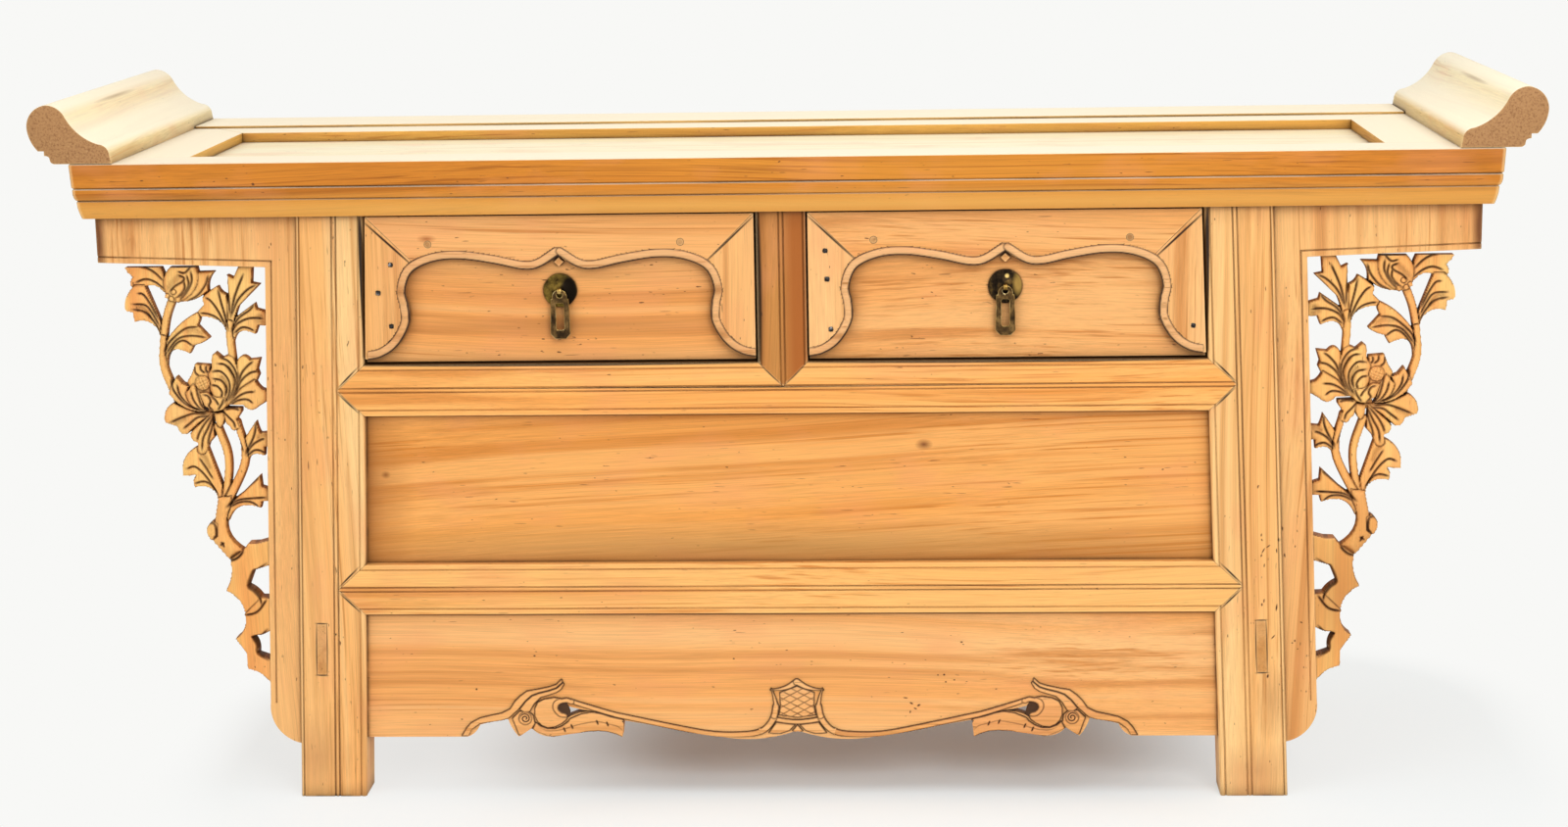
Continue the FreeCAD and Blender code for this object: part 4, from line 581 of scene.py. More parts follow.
LEAF_SHARES = [
    # The two leaves beside the bud, from the outside in
    [(0.707, 0.075, 0.09), (0.793, -0.02, 0.00), (1.031, -0.02, 0.12), (0.963, 0.022, 0.34),
     (0.923, 0.054, -0.29)],
    [(0.770, 0.175, 0.00), (0.760, 0.129, 0.00), (0.874, 0.040, 0.00), (0.944, 0.040, 0.14),
     (1.014, 0.101, 0.00), (0.966, 0.106, 0.00), (0.956, 0.127, -0.29)],
    [(0.637, 0.082, 0.00), (0.507, 0.012, 0.00), (0.371, 0.011, 0.13), (0.419, 0.055, -0.11)],
    # The leaf under the bud
    [(0.751, 0.212, 0.00), (0.727, 0.171, -0.08), (0.492, 0.104, -0.14), (0.500, 0.136, 0.00),
     (0.414, 0.166, -0.07), (0.528, 0.183, 0.00), (0.560, 0.203, 0.44), (0.724, 0.235, 0.00)],
    # The three leaves above the peony
    [(0.256, 0.165, 0.00), (0.290, 0.065, -0.13), (0.352, 0.044, 0.04), (0.469, 0.072, 0.00),
     (0.456, 0.089, 0.00), (0.499, 0.104, 0.00), (0.478, 0.117, -0.29), (0.299, 0.181, 0.00)],
    [(0.284, 0.149, 0.00), (0.284, 0.024, 0.00), (0.298, 0.017, 0.00), (0.242, 0.026, 0.00),
     (0.178, -0.02, 0.00), (0.101, -0.02, 0.00), (0.110, 0.038, 0.00), (0.051, 0.042, 0.00),
     (0.204, 0.092, 0.05), (0.241, 0.149, 0.00)],
    [(0.270, 0.158, 0.00), (0.226, 0.117, 0.00), (0.091, 0.085, 0.00), (0.078, 0.099, 0.00),
     (-0.03, 0.109, 0.00), (-0.03, 0.139, 0.00), (0.066, 0.138, 0.00), (0.088, 0.159, 0.37),
     (0.250, 0.186, 0.00)],
    # The three leaves below the peony
    [(0.199, 0.449, 0.00), (0.172, 0.400, 0.00), (0.093, 0.361, 0.03), (0.063, 0.390, 0.00),
     (-0.03, 0.387, 0.00), (-0.03, 0.422, 0.00), (0.029, 0.424, 0.00), (0.033, 0.445, 0.37),
     (0.158, 0.472, 0.00)],
    [(0.375, 0.565, 0.32), (0.543, 0.519, -0.16), (0.535, 0.490, 0.00), (0.627, 0.492, -0.19),
     (0.517, 0.420, 0.00), (0.446, 0.420, 0.00), (0.337, 0.516, 0.00), (0.346, 0.551, 0.00)],
    [(0.326, 0.563, 0.00), (0.196, 0.531, 0.00), (0.067, 0.489, 0.00), (0.057, 0.517, 0.00),
     (-0.03, 0.526, 0.00), (-0.03, 0.553, 0.00), (0.055, 0.554, 0.00), (0.067, 0.570, 0.27),
     (0.306, 0.603, 0.00)],
]
BUD_SHARES = [(0.700, 0.077, -0.24), (0.618, -0.02, 0.00), (0.526, -0.02, -0.26),
              (0.631, 0.083, 0.00)]
OUTER_PETAL_SHARES = [
    [(0.404, 0.310, 0.00), (0.537, 0.300, 0.00), (0.585, 0.268, 0.00), (0.549, 0.249, 0.00),
     (0.527, 0.226, 0.00), (0.414, 0.229, 0.00)],
    [(0.285, 0.324, 0.00), (0.224, 0.220, -0.36), (0.132, 0.217, 0.00), (0.055, 0.214, 0.00),
     (0.077, 0.241, 0.00), (0.064, 0.253, 0.00), (0.085, 0.268, 0.11)],
    [(0.306, 0.324, 0.00), (0.192, 0.282, 0.00), (0.095, 0.262, 0.09), (0.044, 0.286, 0.00),
     (-0.03, 0.292, 0.00), (-0.03, 0.318, 0.00), (0.017, 0.317, 0.00), (0.067, 0.327, -0.27),
     (0.180, 0.325, 0.00)],
    [(0.371, 0.340, 0.00), (0.519, 0.339, 0.00), (0.680, 0.316, 0.19), (0.750, 0.364, 0.00),
     (0.662, 0.374, 0.42), (0.550, 0.381, -0.05)],
    [(0.406, 0.340, 0.00), (0.542, 0.379, 0.27), (0.544, 0.409, 0.00), (0.516, 0.413, 0.00),
     (0.517, 0.432, 0.40), (0.446, 0.430, 0.00), (0.431, 0.414, 0.00), (0.388, 0.398, 0.00),
     (0.400, 0.360, 0.00)],
    [(0.335, 0.328, 0.00), (0.194, 0.330, 0.00), (0.194, 0.340, 0.00), (0.230, 0.358, 0.00),
     (0.210, 0.377, 0.00), (0.253, 0.386, 0.00), (0.315, 0.363, 0.00)],
    [(0.392, 0.342, 0.00), (0.386, 0.360, 0.71), (0.316, 0.360, 0.00), (0.321, 0.337, 0.00)],
]
INNER_PETAL_SHARES = [
    [(0.363, 0.335, 0.00), (0.417, 0.286, 0.00), (0.429, 0.252, 0.00), (0.404, 0.234, 0.00),
     (0.402, 0.206, 0.00), (0.377, 0.199, 0.00), (0.329, 0.212, -0.29), (0.231, 0.220, -0.14),
     (0.292, 0.326, 0.00)],
    [(0.434, 0.339, -0.14), (0.717, 0.293, 0.00), (0.659, 0.254, 0.00), (0.614, 0.271, 0.00),
     (0.565, 0.277, 0.27), (0.483, 0.330, 0.00)],
    [(0.441, 0.339, -0.18), (0.590, 0.293, 0.00), (0.536, 0.271, -0.10), (0.455, 0.332, 0.00)],
]
CURL_SHARES = [(0.385, 0.338, 0.00), (0.455, 0.323, 0.00), (0.488, 0.294, -0.19),
               (0.404, 0.298, 0.00), (0.362, 0.303, 0.00), (0.305, 0.304, -0.26),
               (0.335, 0.335, 0.00)]
TRUNK_SHARES = [(0.374, 0.542, 0.00), (0.402, 0.598, 0.00), (0.422, 0.645, 0.00),
                (0.297, 0.693, 0.00), (0.181, 0.670, -0.23), (0.283, 0.566, 0.00),
                (0.275, 0.538, 0.00)]
KNOB_SHARES = [(0.413, 0.597, 0.29), (0.422, 0.645, 0.00), (0.379, 0.634, 0.00),
               (0.378, 0.605, 0.00)]
ROCK_SHARES = [
    [(0.289, 0.690, -0.11), (0.321, 0.764, -0.15), (0.181, 0.826, 0.13), (0.044, 0.793, 0.10),
     (0.157, 0.754, 0.00), (0.116, 0.717, 0.00), (-0.03, 0.700, 0.00), (-0.03, 0.639, 0.00),
     (0.081, 0.649, 0.00), (0.152, 0.650, 0.00), (0.196, 0.669, 0.00)],
    [(0.060, 0.780, 0.00), (-0.03, 0.781, 0.00), (-0.03, 0.857, 0.00), (0.062, 0.873, 0.00),
     (0.134, 0.876, -0.12), (0.092, 0.919, 0.00), (-0.03, 0.933, 0.00), (-0.03, 1.010, 0.15),
     (0.169, 0.955, 0.00), (0.178, 0.916, 0.00), (0.256, 0.880, 0.18), (0.188, 0.821, 0.00)],
]
# Cuts across the carving: veins and folds, the lips of the rocks' openings, and broad hollows
VEIN_SHARES = [
    [(0.727, 0.052), (0.796, 0.034), (0.865, 0.027), (0.936, 0.035)],
    [(0.739, 0.031), (0.794, 0.013), (0.850, 0.002), (0.912, -0.003)],
    [(0.768, 0.152), (0.809, 0.127), (0.878, 0.104), (0.968, 0.097)],
    [(0.774, 0.136), (0.815, 0.111), (0.869, 0.088), (0.968, 0.085)],
    [(0.780, 0.122), (0.834, 0.086), (0.882, 0.063), (0.924, 0.060)],
    [(0.574, 0.080), (0.496, 0.066), (0.439, 0.042), (0.417, 0.019)],
    [(0.743, 0.198), (0.699, 0.173), (0.592, 0.144), (0.494, 0.139)],
    [(0.737, 0.205), (0.650, 0.169), (0.551, 0.160), (0.432, 0.165)],
    [(0.723, 0.212), (0.665, 0.182), (0.601, 0.171), (0.531, 0.185)],
    [(0.277, 0.149), (0.303, 0.112), (0.329, 0.081), (0.349, 0.053)],
    [(0.290, 0.144), (0.344, 0.106), (0.399, 0.080), (0.441, 0.071)],
    [(0.291, 0.151), (0.352, 0.121), (0.415, 0.110), (0.478, 0.107)],
    [(0.261, 0.119), (0.238, 0.079), (0.209, 0.051), (0.165, 0.017)],
    [(0.254, 0.113), (0.210, 0.079), (0.139, 0.054), (0.076, 0.043)],
    [(0.268, 0.113), (0.273, 0.076), (0.285, 0.042), (0.291, 0.024)],
    [(0.256, 0.151), (0.206, 0.131), (0.121, 0.120), (0.023, 0.122)],
    [(0.255, 0.145), (0.205, 0.120), (0.127, 0.102), (0.092, 0.088)],
    [(0.242, 0.156), (0.185, 0.142), (0.136, 0.143), (0.094, 0.150)],
    [(0.212, 0.273), (0.190, 0.250), (0.147, 0.232), (0.104, 0.221)],
    [(0.235, 0.296), (0.191, 0.266), (0.127, 0.248), (0.070, 0.244)],
    [(0.271, 0.319), (0.214, 0.303), (0.157, 0.294), (0.094, 0.292)],
    [(0.278, 0.324), (0.214, 0.312), (0.151, 0.310), (0.109, 0.319)],
    [(0.343, 0.211), (0.273, 0.220), (0.225, 0.248), (0.227, 0.282), (0.271, 0.312)],
    [(0.358, 0.224), (0.295, 0.229), (0.240, 0.259), (0.248, 0.287), (0.292, 0.317)],
    [(0.401, 0.243), (0.330, 0.243), (0.275, 0.266), (0.277, 0.296), (0.313, 0.319)],
    [(0.395, 0.259), (0.332, 0.264), (0.297, 0.282), (0.305, 0.303)],
    [(0.403, 0.275), (0.360, 0.277), (0.326, 0.291), (0.334, 0.305)],
    [(0.698, 0.263), (0.671, 0.288), (0.595, 0.318), (0.476, 0.337)],
    [(0.649, 0.272), (0.629, 0.297), (0.560, 0.323), (0.469, 0.335)],
    [(0.551, 0.286), (0.531, 0.309), (0.490, 0.328), (0.448, 0.337)],
    [(0.515, 0.277), (0.496, 0.302), (0.476, 0.321), (0.441, 0.335)],
    [(0.527, 0.231), (0.521, 0.245), (0.493, 0.254)],
    [(0.485, 0.229), (0.478, 0.240), (0.450, 0.247)],
    [(0.442, 0.231), (0.443, 0.240), (0.429, 0.247)],
    [(0.434, 0.344), (0.533, 0.342), (0.619, 0.351), (0.711, 0.364)],
    [(0.428, 0.349), (0.505, 0.351), (0.563, 0.365), (0.613, 0.378)],
    [(0.406, 0.346), (0.464, 0.369), (0.501, 0.390), (0.516, 0.406)],
    [(0.400, 0.351), (0.436, 0.377), (0.473, 0.402), (0.482, 0.430)],
    [(0.393, 0.360), (0.408, 0.377), (0.430, 0.400), (0.438, 0.416)],
    [(0.328, 0.337), (0.287, 0.351), (0.252, 0.363), (0.238, 0.377)],
    [(0.307, 0.333), (0.257, 0.331), (0.208, 0.335)],
    [(0.171, 0.437), (0.127, 0.412), (0.098, 0.387), (0.097, 0.366)],
    [(0.171, 0.442), (0.120, 0.419), (0.070, 0.408), (0.028, 0.403)],
    [(0.157, 0.444), (0.107, 0.431), (0.064, 0.431), (0.029, 0.438)],
    [(0.239, 0.393), (0.212, 0.410), (0.185, 0.433)],
    [(0.598, 0.474), (0.533, 0.469), (0.450, 0.495), (0.367, 0.540)],
    [(0.543, 0.509), (0.472, 0.504), (0.415, 0.514), (0.374, 0.535)],
    [(0.504, 0.448), (0.456, 0.472), (0.407, 0.498)],
    [(0.312, 0.566), (0.239, 0.542), (0.160, 0.519), (0.067, 0.494)],
    [(0.312, 0.566), (0.225, 0.549), (0.126, 0.545), (0.019, 0.543)],
    [(0.290, 0.566), (0.212, 0.554), (0.133, 0.554), (0.077, 0.566)],
    [(0.627, 0.018), (0.585, 0.023), (0.592, 0.032), (0.649, 0.043), (0.692, 0.057)],
    [(0.535, 0.007), (0.529, 0.032), (0.566, 0.057), (0.616, 0.075)],
    [(0.564, 0.016), (0.551, 0.039), (0.580, 0.057), (0.616, 0.068)],
    [(0.585, 0.030), (0.579, 0.046), (0.601, 0.059), (0.630, 0.068)],
    [(0.626, 0.009), (0.577, 0.012), (0.534, -0.002)],
    [(0.460, 0.296), (0.425, 0.300), (0.405, 0.312), (0.419, 0.323), (0.385, 0.335)],
    [(0.404, 0.300), (0.369, 0.310), (0.349, 0.321)],
    [(0.312, 0.305), (0.327, 0.319), (0.356, 0.333)],
    [(0.449, 0.603), (0.399, 0.605), (0.386, 0.629), (0.408, 0.641)],
    [(0.359, 0.657), (0.330, 0.650)], [(0.351, 0.648), (0.330, 0.660)],
]
LIP_SHARES = [
    [(0.019, 0.698), (0.084, 0.712), (0.119, 0.717), (0.157, 0.752), (0.114, 0.766),
     (0.072, 0.783), (0.059, 0.800)],
    [(0.018, 0.857), (0.062, 0.871), (0.126, 0.876), (0.099, 0.895), (0.092, 0.916),
     (0.014, 0.933)],
    [(0.181, 0.823), (0.117, 0.819), (0.073, 0.809), (0.022, 0.785)],
    [(0.297, 0.693), (0.246, 0.688), (0.210, 0.679), (0.188, 0.669)],
]
SCOOP_SHARES = [
    [(0.592, 0.150), (0.529, 0.146), (0.459, 0.158)],
    [(0.947, 0.092), (0.884, 0.097), (0.829, 0.118)],
    [(0.030, 0.113), (0.072, 0.125), (0.016, 0.132)],
    [(0.489, 0.439), (0.455, 0.453), (0.428, 0.477)],
    [(0.084, 0.403), (0.042, 0.396), (0.006, 0.394)],
    [(0.287, 0.227), (0.240, 0.255), (0.234, 0.282)],
    [(0.605, 0.016), (0.655, 0.032), (0.706, 0.052)],
    [(0.338, 0.252), (0.297, 0.271), (0.291, 0.296)],
    [(0.590, 0.351), (0.654, 0.360), (0.683, 0.367)],
]

# Each stem: three places on its line, and its width at the two ends in shares of u
STEMS = [
    ([(0.665, 0.060), (0.727, 0.118), (0.753, 0.180)], 0.060, 0.048),
    ([(0.751, 0.164), (0.752, 0.233), (0.658, 0.307)], 0.048, 0.061),
    ([(0.272, 0.131), (0.271, 0.177), (0.253, 0.232)], 0.054, 0.052),
    ([(0.373, 0.374), (0.299, 0.453), (0.325, 0.560)], 0.052, 0.056),
    ([(0.231, 0.365), (0.178, 0.454), (0.318, 0.560)], 0.044, 0.067),
]
SEEDS_PLACE = (0.466, 0.270)
SEEDS_RADIUS = 8.8
SEEDS_RIM = 0.8
SEED_PITCH = 3.6
SEED_HEIGHT = 0.55
SEED_SLANT = (0.92, 0.39)       # the slant of the seeds' rows, as the parts across and up
HEART_PLACE = (0.390, 0.337)
HEART_RADIUS = 8.0
CALYX_SHARES = [(0.705, 0.066), (0.660, 0.056), (0.676, 0.072), (0.628, 0.074)]
CALYX_RADIUS = 3.2

# How each part stands off the carving's back, in millimetres: the height of its edge, the dome
# on it, and how far in from the edge the dome is full
LEAF_FORM = (9.0, 3.6, 5.0)
STEM_FORM = {"lift": 8.0, "dome": 4.6, "soft": 4.5, "soil": 0.4}
TRUNK_FORM = (9.0, 6.0, 9.0)
KNOB_FORM = (11.5, 4.0, 4.0)
OUTER_PETAL_FORM = (9.5, 4.0, 5.0)
INNER_PETAL_FORMS = [(11.5, 5.0, 9.0), (12.0, 4.0, 6.0), (13.5, 3.5, 5.0)]
CURL_FORM = (14.5, 4.0, 5.0)
BUD_FORM = (11.5, 5.5, 8.0)
ROCK_FORM = (16.5, 2.2, 3.5)
HEART_FORM = {"lift": 9.0, "dome": 0, "soft": 1.0}
SEEDS_FORM = {"lift": 13.0, "dome": 4.5, "soft": SEEDS_RADIUS}
CALYX_FORM = {"lift": 14.5, "dome": 3.0, "soft": CALYX_RADIUS}
# Each kind of cut: its half width, its depth and its dirt
SCOOP_CUT = (5.5, 2.4, 0.3)
VEIN_CUT = (1.9, 2.3)
LIP_CUT = (2.0, 3.0)
THINNEST = 5.5


def carve_place(u, v):
    """Millimetres across and up for shares of the spandrel."""
    z = CARVE_TOP - v * CARVE_HEIGHT
    return (LEG_TOP_OUT + LEG_LEAN * (LEG_TOP_HEIGHT - z) + ARM_WIDTH + u * CARVE_WIDTH, z)


def carve_outline(shares):
    """A closed outline from shares; a side with a bulge is a curve."""
    line = []
    for (u0, v0, bulge), (u1, v1, _) in zip(shares, shares[1:] + shares[:1]):
        start, end = np.array(carve_place(u0, v0)), np.array(carve_place(u1, v1))
        middle = np.array(carve_place((u0 + u1) / 2 + (v1 - v0) * bulge * CARVE_TALL,
                                      (v0 + v1) / 2 - (u1 - u0) * bulge / CARVE_TALL))
        pull = 2 * middle - (start + end) / 2
        for t in np.arange(CURVE_RUNS) / CURVE_RUNS if bulge else (0,):
            line.append((1 - t) ** 2 * start + 2 * t * (1 - t) * pull + t ** 2 * end)
    return np.array(line)


def arm_limit(points):
    """The bracket's leaning arm bounds the carving on its inner side."""
    edge = LEG_TOP_OUT + LEG_LEAN * (LEG_TOP_HEIGHT - points[:, 1]) + ARM_WIDTH
    return points[:, 0] - edge, np.stack([edge, points[:, 1]], 1)


def top_limit(points):
    """The arm under the top bounds the carving above."""
    return CARVE_TOP - points[:, 1], np.stack([points[:, 0], np.full(len(points), CARVE_TOP)], 1)


def carve_spandrel(mirror_x):
    """A peony with its bud, leaves and stems that grow from rocks, carved in layers."""
    carving = Relief(CARVE_LOW, CARVE_HIGH, CARVE_STEP)

    def lay(shares, lift, dome, soft):
        carving.raise_form(inside, carve_outline(shares), lift=lift, dome=dome, soft=soft)

    def groove(lines, width, depth, soil=1.0):
        for line in lines:
            places = [carve_place(u, v) for u, v in line]
            carving.cut(smooth_line(places), width, depth, soil)

    for leaf in LEAF_SHARES:
        lay(leaf, *LEAF_FORM)
    for places, start, end in STEMS:
        line = smooth_line([carve_place(u, v) for u, v in places], CURVE_RUNS)
        carving.raise_form(within, line, start * CARVE_WIDTH / 2, end * CARVE_WIDTH / 2,
                           **STEM_FORM)
    lay(TRUNK_SHARES, *TRUNK_FORM)
    lay(KNOB_SHARES, *KNOB_FORM)
    turn = np.linspace(0, 2 * math.pi, 25)[:-1, None]
    ring = np.hstack([np.cos(turn), np.sin(turn)])
    carving.raise_form(inside, np.array(carve_place(*HEART_PLACE)) + HEART_RADIUS * ring,
                       **HEART_FORM)
    for petal in OUTER_PETAL_SHARES:
        lay(petal, *OUTER_PETAL_FORM)
    for petal, form in zip(INNER_PETAL_SHARES, INNER_PETAL_FORMS):
        lay(petal, *form)
    seeds = np.array(carve_place(*SEEDS_PLACE))
    carving.raise_form(inside, seeds + SEEDS_RADIUS * ring, **SEEDS_FORM)
    away = carving.points - seeds
    near = np.linalg.norm(away, axis=1) < SEEDS_RADIUS - SEEDS_RIM
    along, up = SEED_SLANT
    cross = away[near] @ np.array([[along, up], [-up, along]])
    carving.height[near] += SEED_HEIGHT * np.cos(cross * 2 * math.pi / SEED_PITCH).sum(1)
    lay(CURL_SHARES, *CURL_FORM)
    lay(BUD_SHARES, *BUD_FORM)
    for place in CALYX_SHARES:
        centre = np.array(carve_place(*place))
        carving.raise_form(inside, centre + CALYX_RADIUS * ring, **CALYX_FORM)
    for rock in ROCK_SHARES:
        lay(rock, *ROCK_FORM)
    groove(SCOOP_SHARES, *SCOOP_CUT)
    groove(VEIN_SHARES, *VEIN_CUT)
    groove(LIP_SHARES, *LIP_CUT)
    carving.height = np.maximum(carving.height, THINNEST)
    carving.bound(arm_limit)
    carving.bound(top_limit)
    return carving.finished(CARVE_BACK, mirror_x)


# The apron's carving. Places are in millimetres: out from the apron's middle, which lies right of
# the table's, and up from the floor

APRON_FACE = -212.0
APRON_MIDDLE = 9.4
APRON_TOP = 223.0
APRON_HEIGHT = 152.0
LEG_WIDTH = 78.0
APRON_STEP = 0.8
# The board's shaped lower edge, in shares of the half length and of the height
APRON_SHARES = [
    (0.000, 0.955), (0.030, 0.985), (0.100, 1.000), (0.187, 1.000), (0.273, 0.959),
    (0.415, 0.868), (0.410, 0.890), (0.413, 1.000), (0.459, 0.955), (0.498, 0.960),
    (0.537, 0.975), (0.579, 1.000), (0.629, 0.930), (0.659, 1.000), (0.684, 0.858),
    (0.719, 0.875), (0.751, 0.903), (0.772, 0.940), (0.781, 1.000),
]
TENDRIL = [
    (398, 72), (392, 82), (386, 89), (375, 95), (363, 98), (349, 101), (339, 106), (333, 115),
    (326, 122), (318, 128), (306, 130), (292, 133), (283, 136), (276, 143), (275, 138), (283, 131),
    (292, 128), (304, 125), (312, 122), (320, 115), (328, 105), (340, 94), (349, 91), (363, 89),
    (375, 87), (383, 81), (388, 72),
]
FOLD = [
    (328, 105), (320, 115), (312, 122), (304, 125), (292, 128), (283, 131), (275, 138), (273, 136),
    (277, 129), (283, 125), (292, 122), (302, 119), (309, 112), (315, 102), (322, 101),
]
NIB = [
    (337, 94), (333, 83), (330, 74), (327, 72), (321, 75), (313, 81), (309, 88), (311, 98),
    (318, 104), (328, 103),
]
CURL_LEAF = [
    (313, 81), (308, 76), (304, 72), (290, 71), (277, 72), (262, 74), (250, 77), (235, 78),
    (224, 77), (214, 74), (206, 70), (199, 69), (198, 86), (202, 90), (206, 93), (219, 96),
    (231, 100), (236, 101), (242, 102), (254, 100), (268, 94), (271, 90), (278, 85), (286, 82),
    (295, 82), (303, 85), (309, 90),
]
CURL_LEAF_LINE = [(303, 82), (295, 79), (286, 79), (275, 81), (263, 85), (250, 88), (235, 90),
                  (223, 87), (212, 84), (205, 78)]
CURL_LEAF_NICKS = [(275, 80), (266, 84), (236, 89), (224, 87)]
# The scroll's disc, the end of the edge bead that hooks over it, and the hollow that it holds,
# painted dark as the shade in a hole
SCROLL_DISC = [
    (280, 119), (286, 120), (298, 118), (306, 114), (310, 106), (310, 97), (307, 90), (302, 85),
    (295, 82), (286, 83), (278, 87), (272, 92), (270, 97), (272, 101), (282, 104), (280, 110),
    (277, 113), (271, 116),
]
SCROLL_HOOK = [(266, 114), (271, 116), (277, 115), (283, 113), (285, 108), (283, 103), (279, 99),
               (273, 98)]
SCROLL_HOLE_SHADE = [
    (276, 113), (280, 110), (282, 107), (281, 104), (278, 101), (274, 100), (272, 99), (271, 97),
    (271, 95), (268, 96), (267, 103), (269, 109), (272, 113),
]
SNAIL_PLACE = (321, 94)
SNAIL_RADIUS = 7.5
EDGE_BEAD = [
    (266, 115), (258, 112), (246, 108), (217, 99), (200, 95), (131, 80), (95, 74), (60, 74),
    (42, 78), (32, 87), (27, 97), (25, 108), (27, 120), (30, 130),
]
SHIELD = [(0, 133), (21, 125), (20, 109), (22, 97), (0, 94), (-22, 97), (-20, 109), (-21, 125)]
SHIELD_TOP = [(0, 138), (10, 132), (20, 129), (31, 128)]
COLLAR = [(25, 92), (13, 90), (0, 89), (-13, 90), (-25, 92)]
FOOT_PETALS = [
    [(-25, 89), (-2, 86), (-9, 78), (-21, 74), (-35, 75)],
    [(25, 89), (2, 86), (9, 78), (21, 74), (35, 75)],
    [(0, 86), (7, 78), (0, 74), (-7, 78)],
]
LATTICE_PITCH = 9.0
LATTICE_SLOPE = 0.55
LATTICE_CUT = 0.75
LATTICE_HALF = 1.2
LATTICE_DIRT = 0.8
THINNEST_LOW = 0.25     # the least height of the low relief over its board
RIM_WIDTH = 1.3
LOW_FORM = {"lift": 0.5, "soft": 2.6}
SHIELD_FORM = {"lift": 0.7, "dome": 0.5, "soft": 2.0}
PETAL_FORM = {"lift": 0.5, "dome": 1.2, "soft": 3.0}
COLLAR_FORM = {"lift": 0.6, "dome": 1.2, "soft": 2.4}
HOOD_FORM = {"lift": 0.6, "dome": 1.3, "soft": 2.4}


def make_apron_carving(side):
    """Beads, a cloud scroll and its leaf along one half of the apron, in low relief."""
    ends = sorted((APRON_MIDDLE + side * 20, APRON_MIDDLE + side * 402))
    carving = Relief((ends[0], 70), (ends[1], 146), APRON_STEP)

    def at(places):
        return np.array([(APRON_MIDDLE + side * x, z) for x, z in places], float)

    def disc(place, radius):
        turn = np.linspace(0, 2 * math.pi, 33)[:-1]
        return at([place])[0] + radius * np.stack([np.cos(turn), np.sin(turn)], 1)

    low = LOW_FORM
    carving.raise_form(inside, at(CURL_LEAF), dome=1.4, **low)
    carving.raise_form(inside, at(NIB), dome=1.3, **low)
    carving.raise_form(inside, at(FOLD), dome=1.3, **low)
    carving.raise_form(inside, at(SCROLL_DISC), dome=1.5, **low)
    carving.raise_form(inside, disc(SNAIL_PLACE, SNAIL_RADIUS), dome=1.4, **low)
    carving.raise_form(within, smooth_line(at(EDGE_BEAD[:-2])), 2.8, 4.2, dome=1.3, **low)
    carving.raise_form(within, smooth_line(at(EDGE_BEAD[-4:])), 4.0, 0.9, dome=1.3, **low)
    carving.raise_form(within, smooth_line(at(SCROLL_HOOK)), 3.2, 2.6, dome=1.7, **low)
    # The hollow painted full dark: painted shade where a hole's deep shaded wall would be
    carving.raise_form(inside, at(SCROLL_HOLE_SHADE), lift=THINNEST_LOW, dome=0, soft=1)
    carving.dirt[inside(carving.points, at(SCROLL_HOLE_SHADE))[0] > 0] = 1
    carving.raise_form(inside, at(TENDRIL), dome=1.4, **low)
    carving.cut(smooth_line(at(CURL_LEAF_LINE)), 1.0, 0.6, 0.8)
    for x, z in CURL_LEAF_NICKS:
        carving.cut(at([(x - 1, z - 2.5), (x, z), (x + 1, z + 2.5)]), 1.3, 1.6)
    turn = np.linspace(0, 3.5 * math.pi, 30)
    snail = at([SNAIL_PLACE])[0] + np.linspace(SNAIL_RADIUS - 1.2, 1, 30)[:, None] * np.stack(
        [side * np.cos(turn), np.sin(turn)], 1)
    carving.cut(snail, 1.1, 1.1)
    carving.height = np.maximum(carving.height, THINNEST_LOW)
    carving.soil_rim(RIM_WIDTH)
    carving.bound(apron_limit)
    return carving.finished(APRON_FACE)


def apron_limit(points):
    """The board's shaped lower edge bounds its carving."""
    edge = []
    for side, shares in ((-1, APRON_SHARES[::-1]), (1, APRON_SHARES[1:])):
        for u, v in shares:
            z = APRON_TOP - v * APRON_HEIGHT
            half = LEG_TOP_OUT + LEG_LEAN * (LEG_TOP_HEIGHT - z) - LEG_WIDTH
            edge.append((APRON_MIDDLE + side * u * half, z))
    edge = [(edge[0][0] - 90, edge[0][1])] + edge + [(edge[-1][0] + 90, edge[-1][1])]
    edge += [(edge[-1][0], APRON_TOP), (edge[0][0], APRON_TOP)]
    return inside(points, np.array(edge))


def make_shield():
    """A basket of crossed cuts under a pointed hood, with a collar and three foot petals."""
    carving = Relief((APRON_MIDDLE - 44, 70), (APRON_MIDDLE + 44, 146), APRON_STEP)
    shift = np.array([APRON_MIDDLE, 0.0])

    def at(places):
        return np.array(places, float) + shift

    carving.raise_form(inside, at(SHIELD), **SHIELD_FORM)
    off = carving.points - shift
    for slope in (1, -1):
        band = (off[:, 1] + slope * LATTICE_SLOPE * off[:, 0]) / LATTICE_PITCH
        gap = np.abs(band - np.round(band)) * LATTICE_PITCH
        cut = np.clip(1 - gap / LATTICE_HALF, 0, 1) * (carving.reach > 0)
        carving.height -= LATTICE_CUT * cut
        carving.dirt = np.maximum(carving.dirt, LATTICE_DIRT * cut)
    for petal in FOOT_PETALS:
        carving.raise_form(inside, at(petal), **PETAL_FORM)
    carving.raise_form(within, smooth_line(at(COLLAR)), 3.0, 3.0, **COLLAR_FORM)
    for side in (-1, 1):
        hood = smooth_line([(APRON_MIDDLE + side * x, z) for x, z in SHIELD_TOP])
        carving.raise_form(within, hood, 4.0, 1.0, **HOOD_FORM)
        edge = [(APRON_MIDDLE + side * x, z) for x, z in EDGE_BEAD[-8:]]
        for run, tip in ((edge[:-2], 3.9), (edge[-4:], 0.9)):
            carving.raise_form(within, smooth_line(run), 3.9, tip, **HOOD_FORM)
    carving.height = np.maximum(carving.height, THINNEST_LOW)
    carving.soil_rim(RIM_WIDTH)
    carving.bound(apron_limit)
    return carving.finished(APRON_FACE)


# The drawers' beads, nails, plugs and pulls

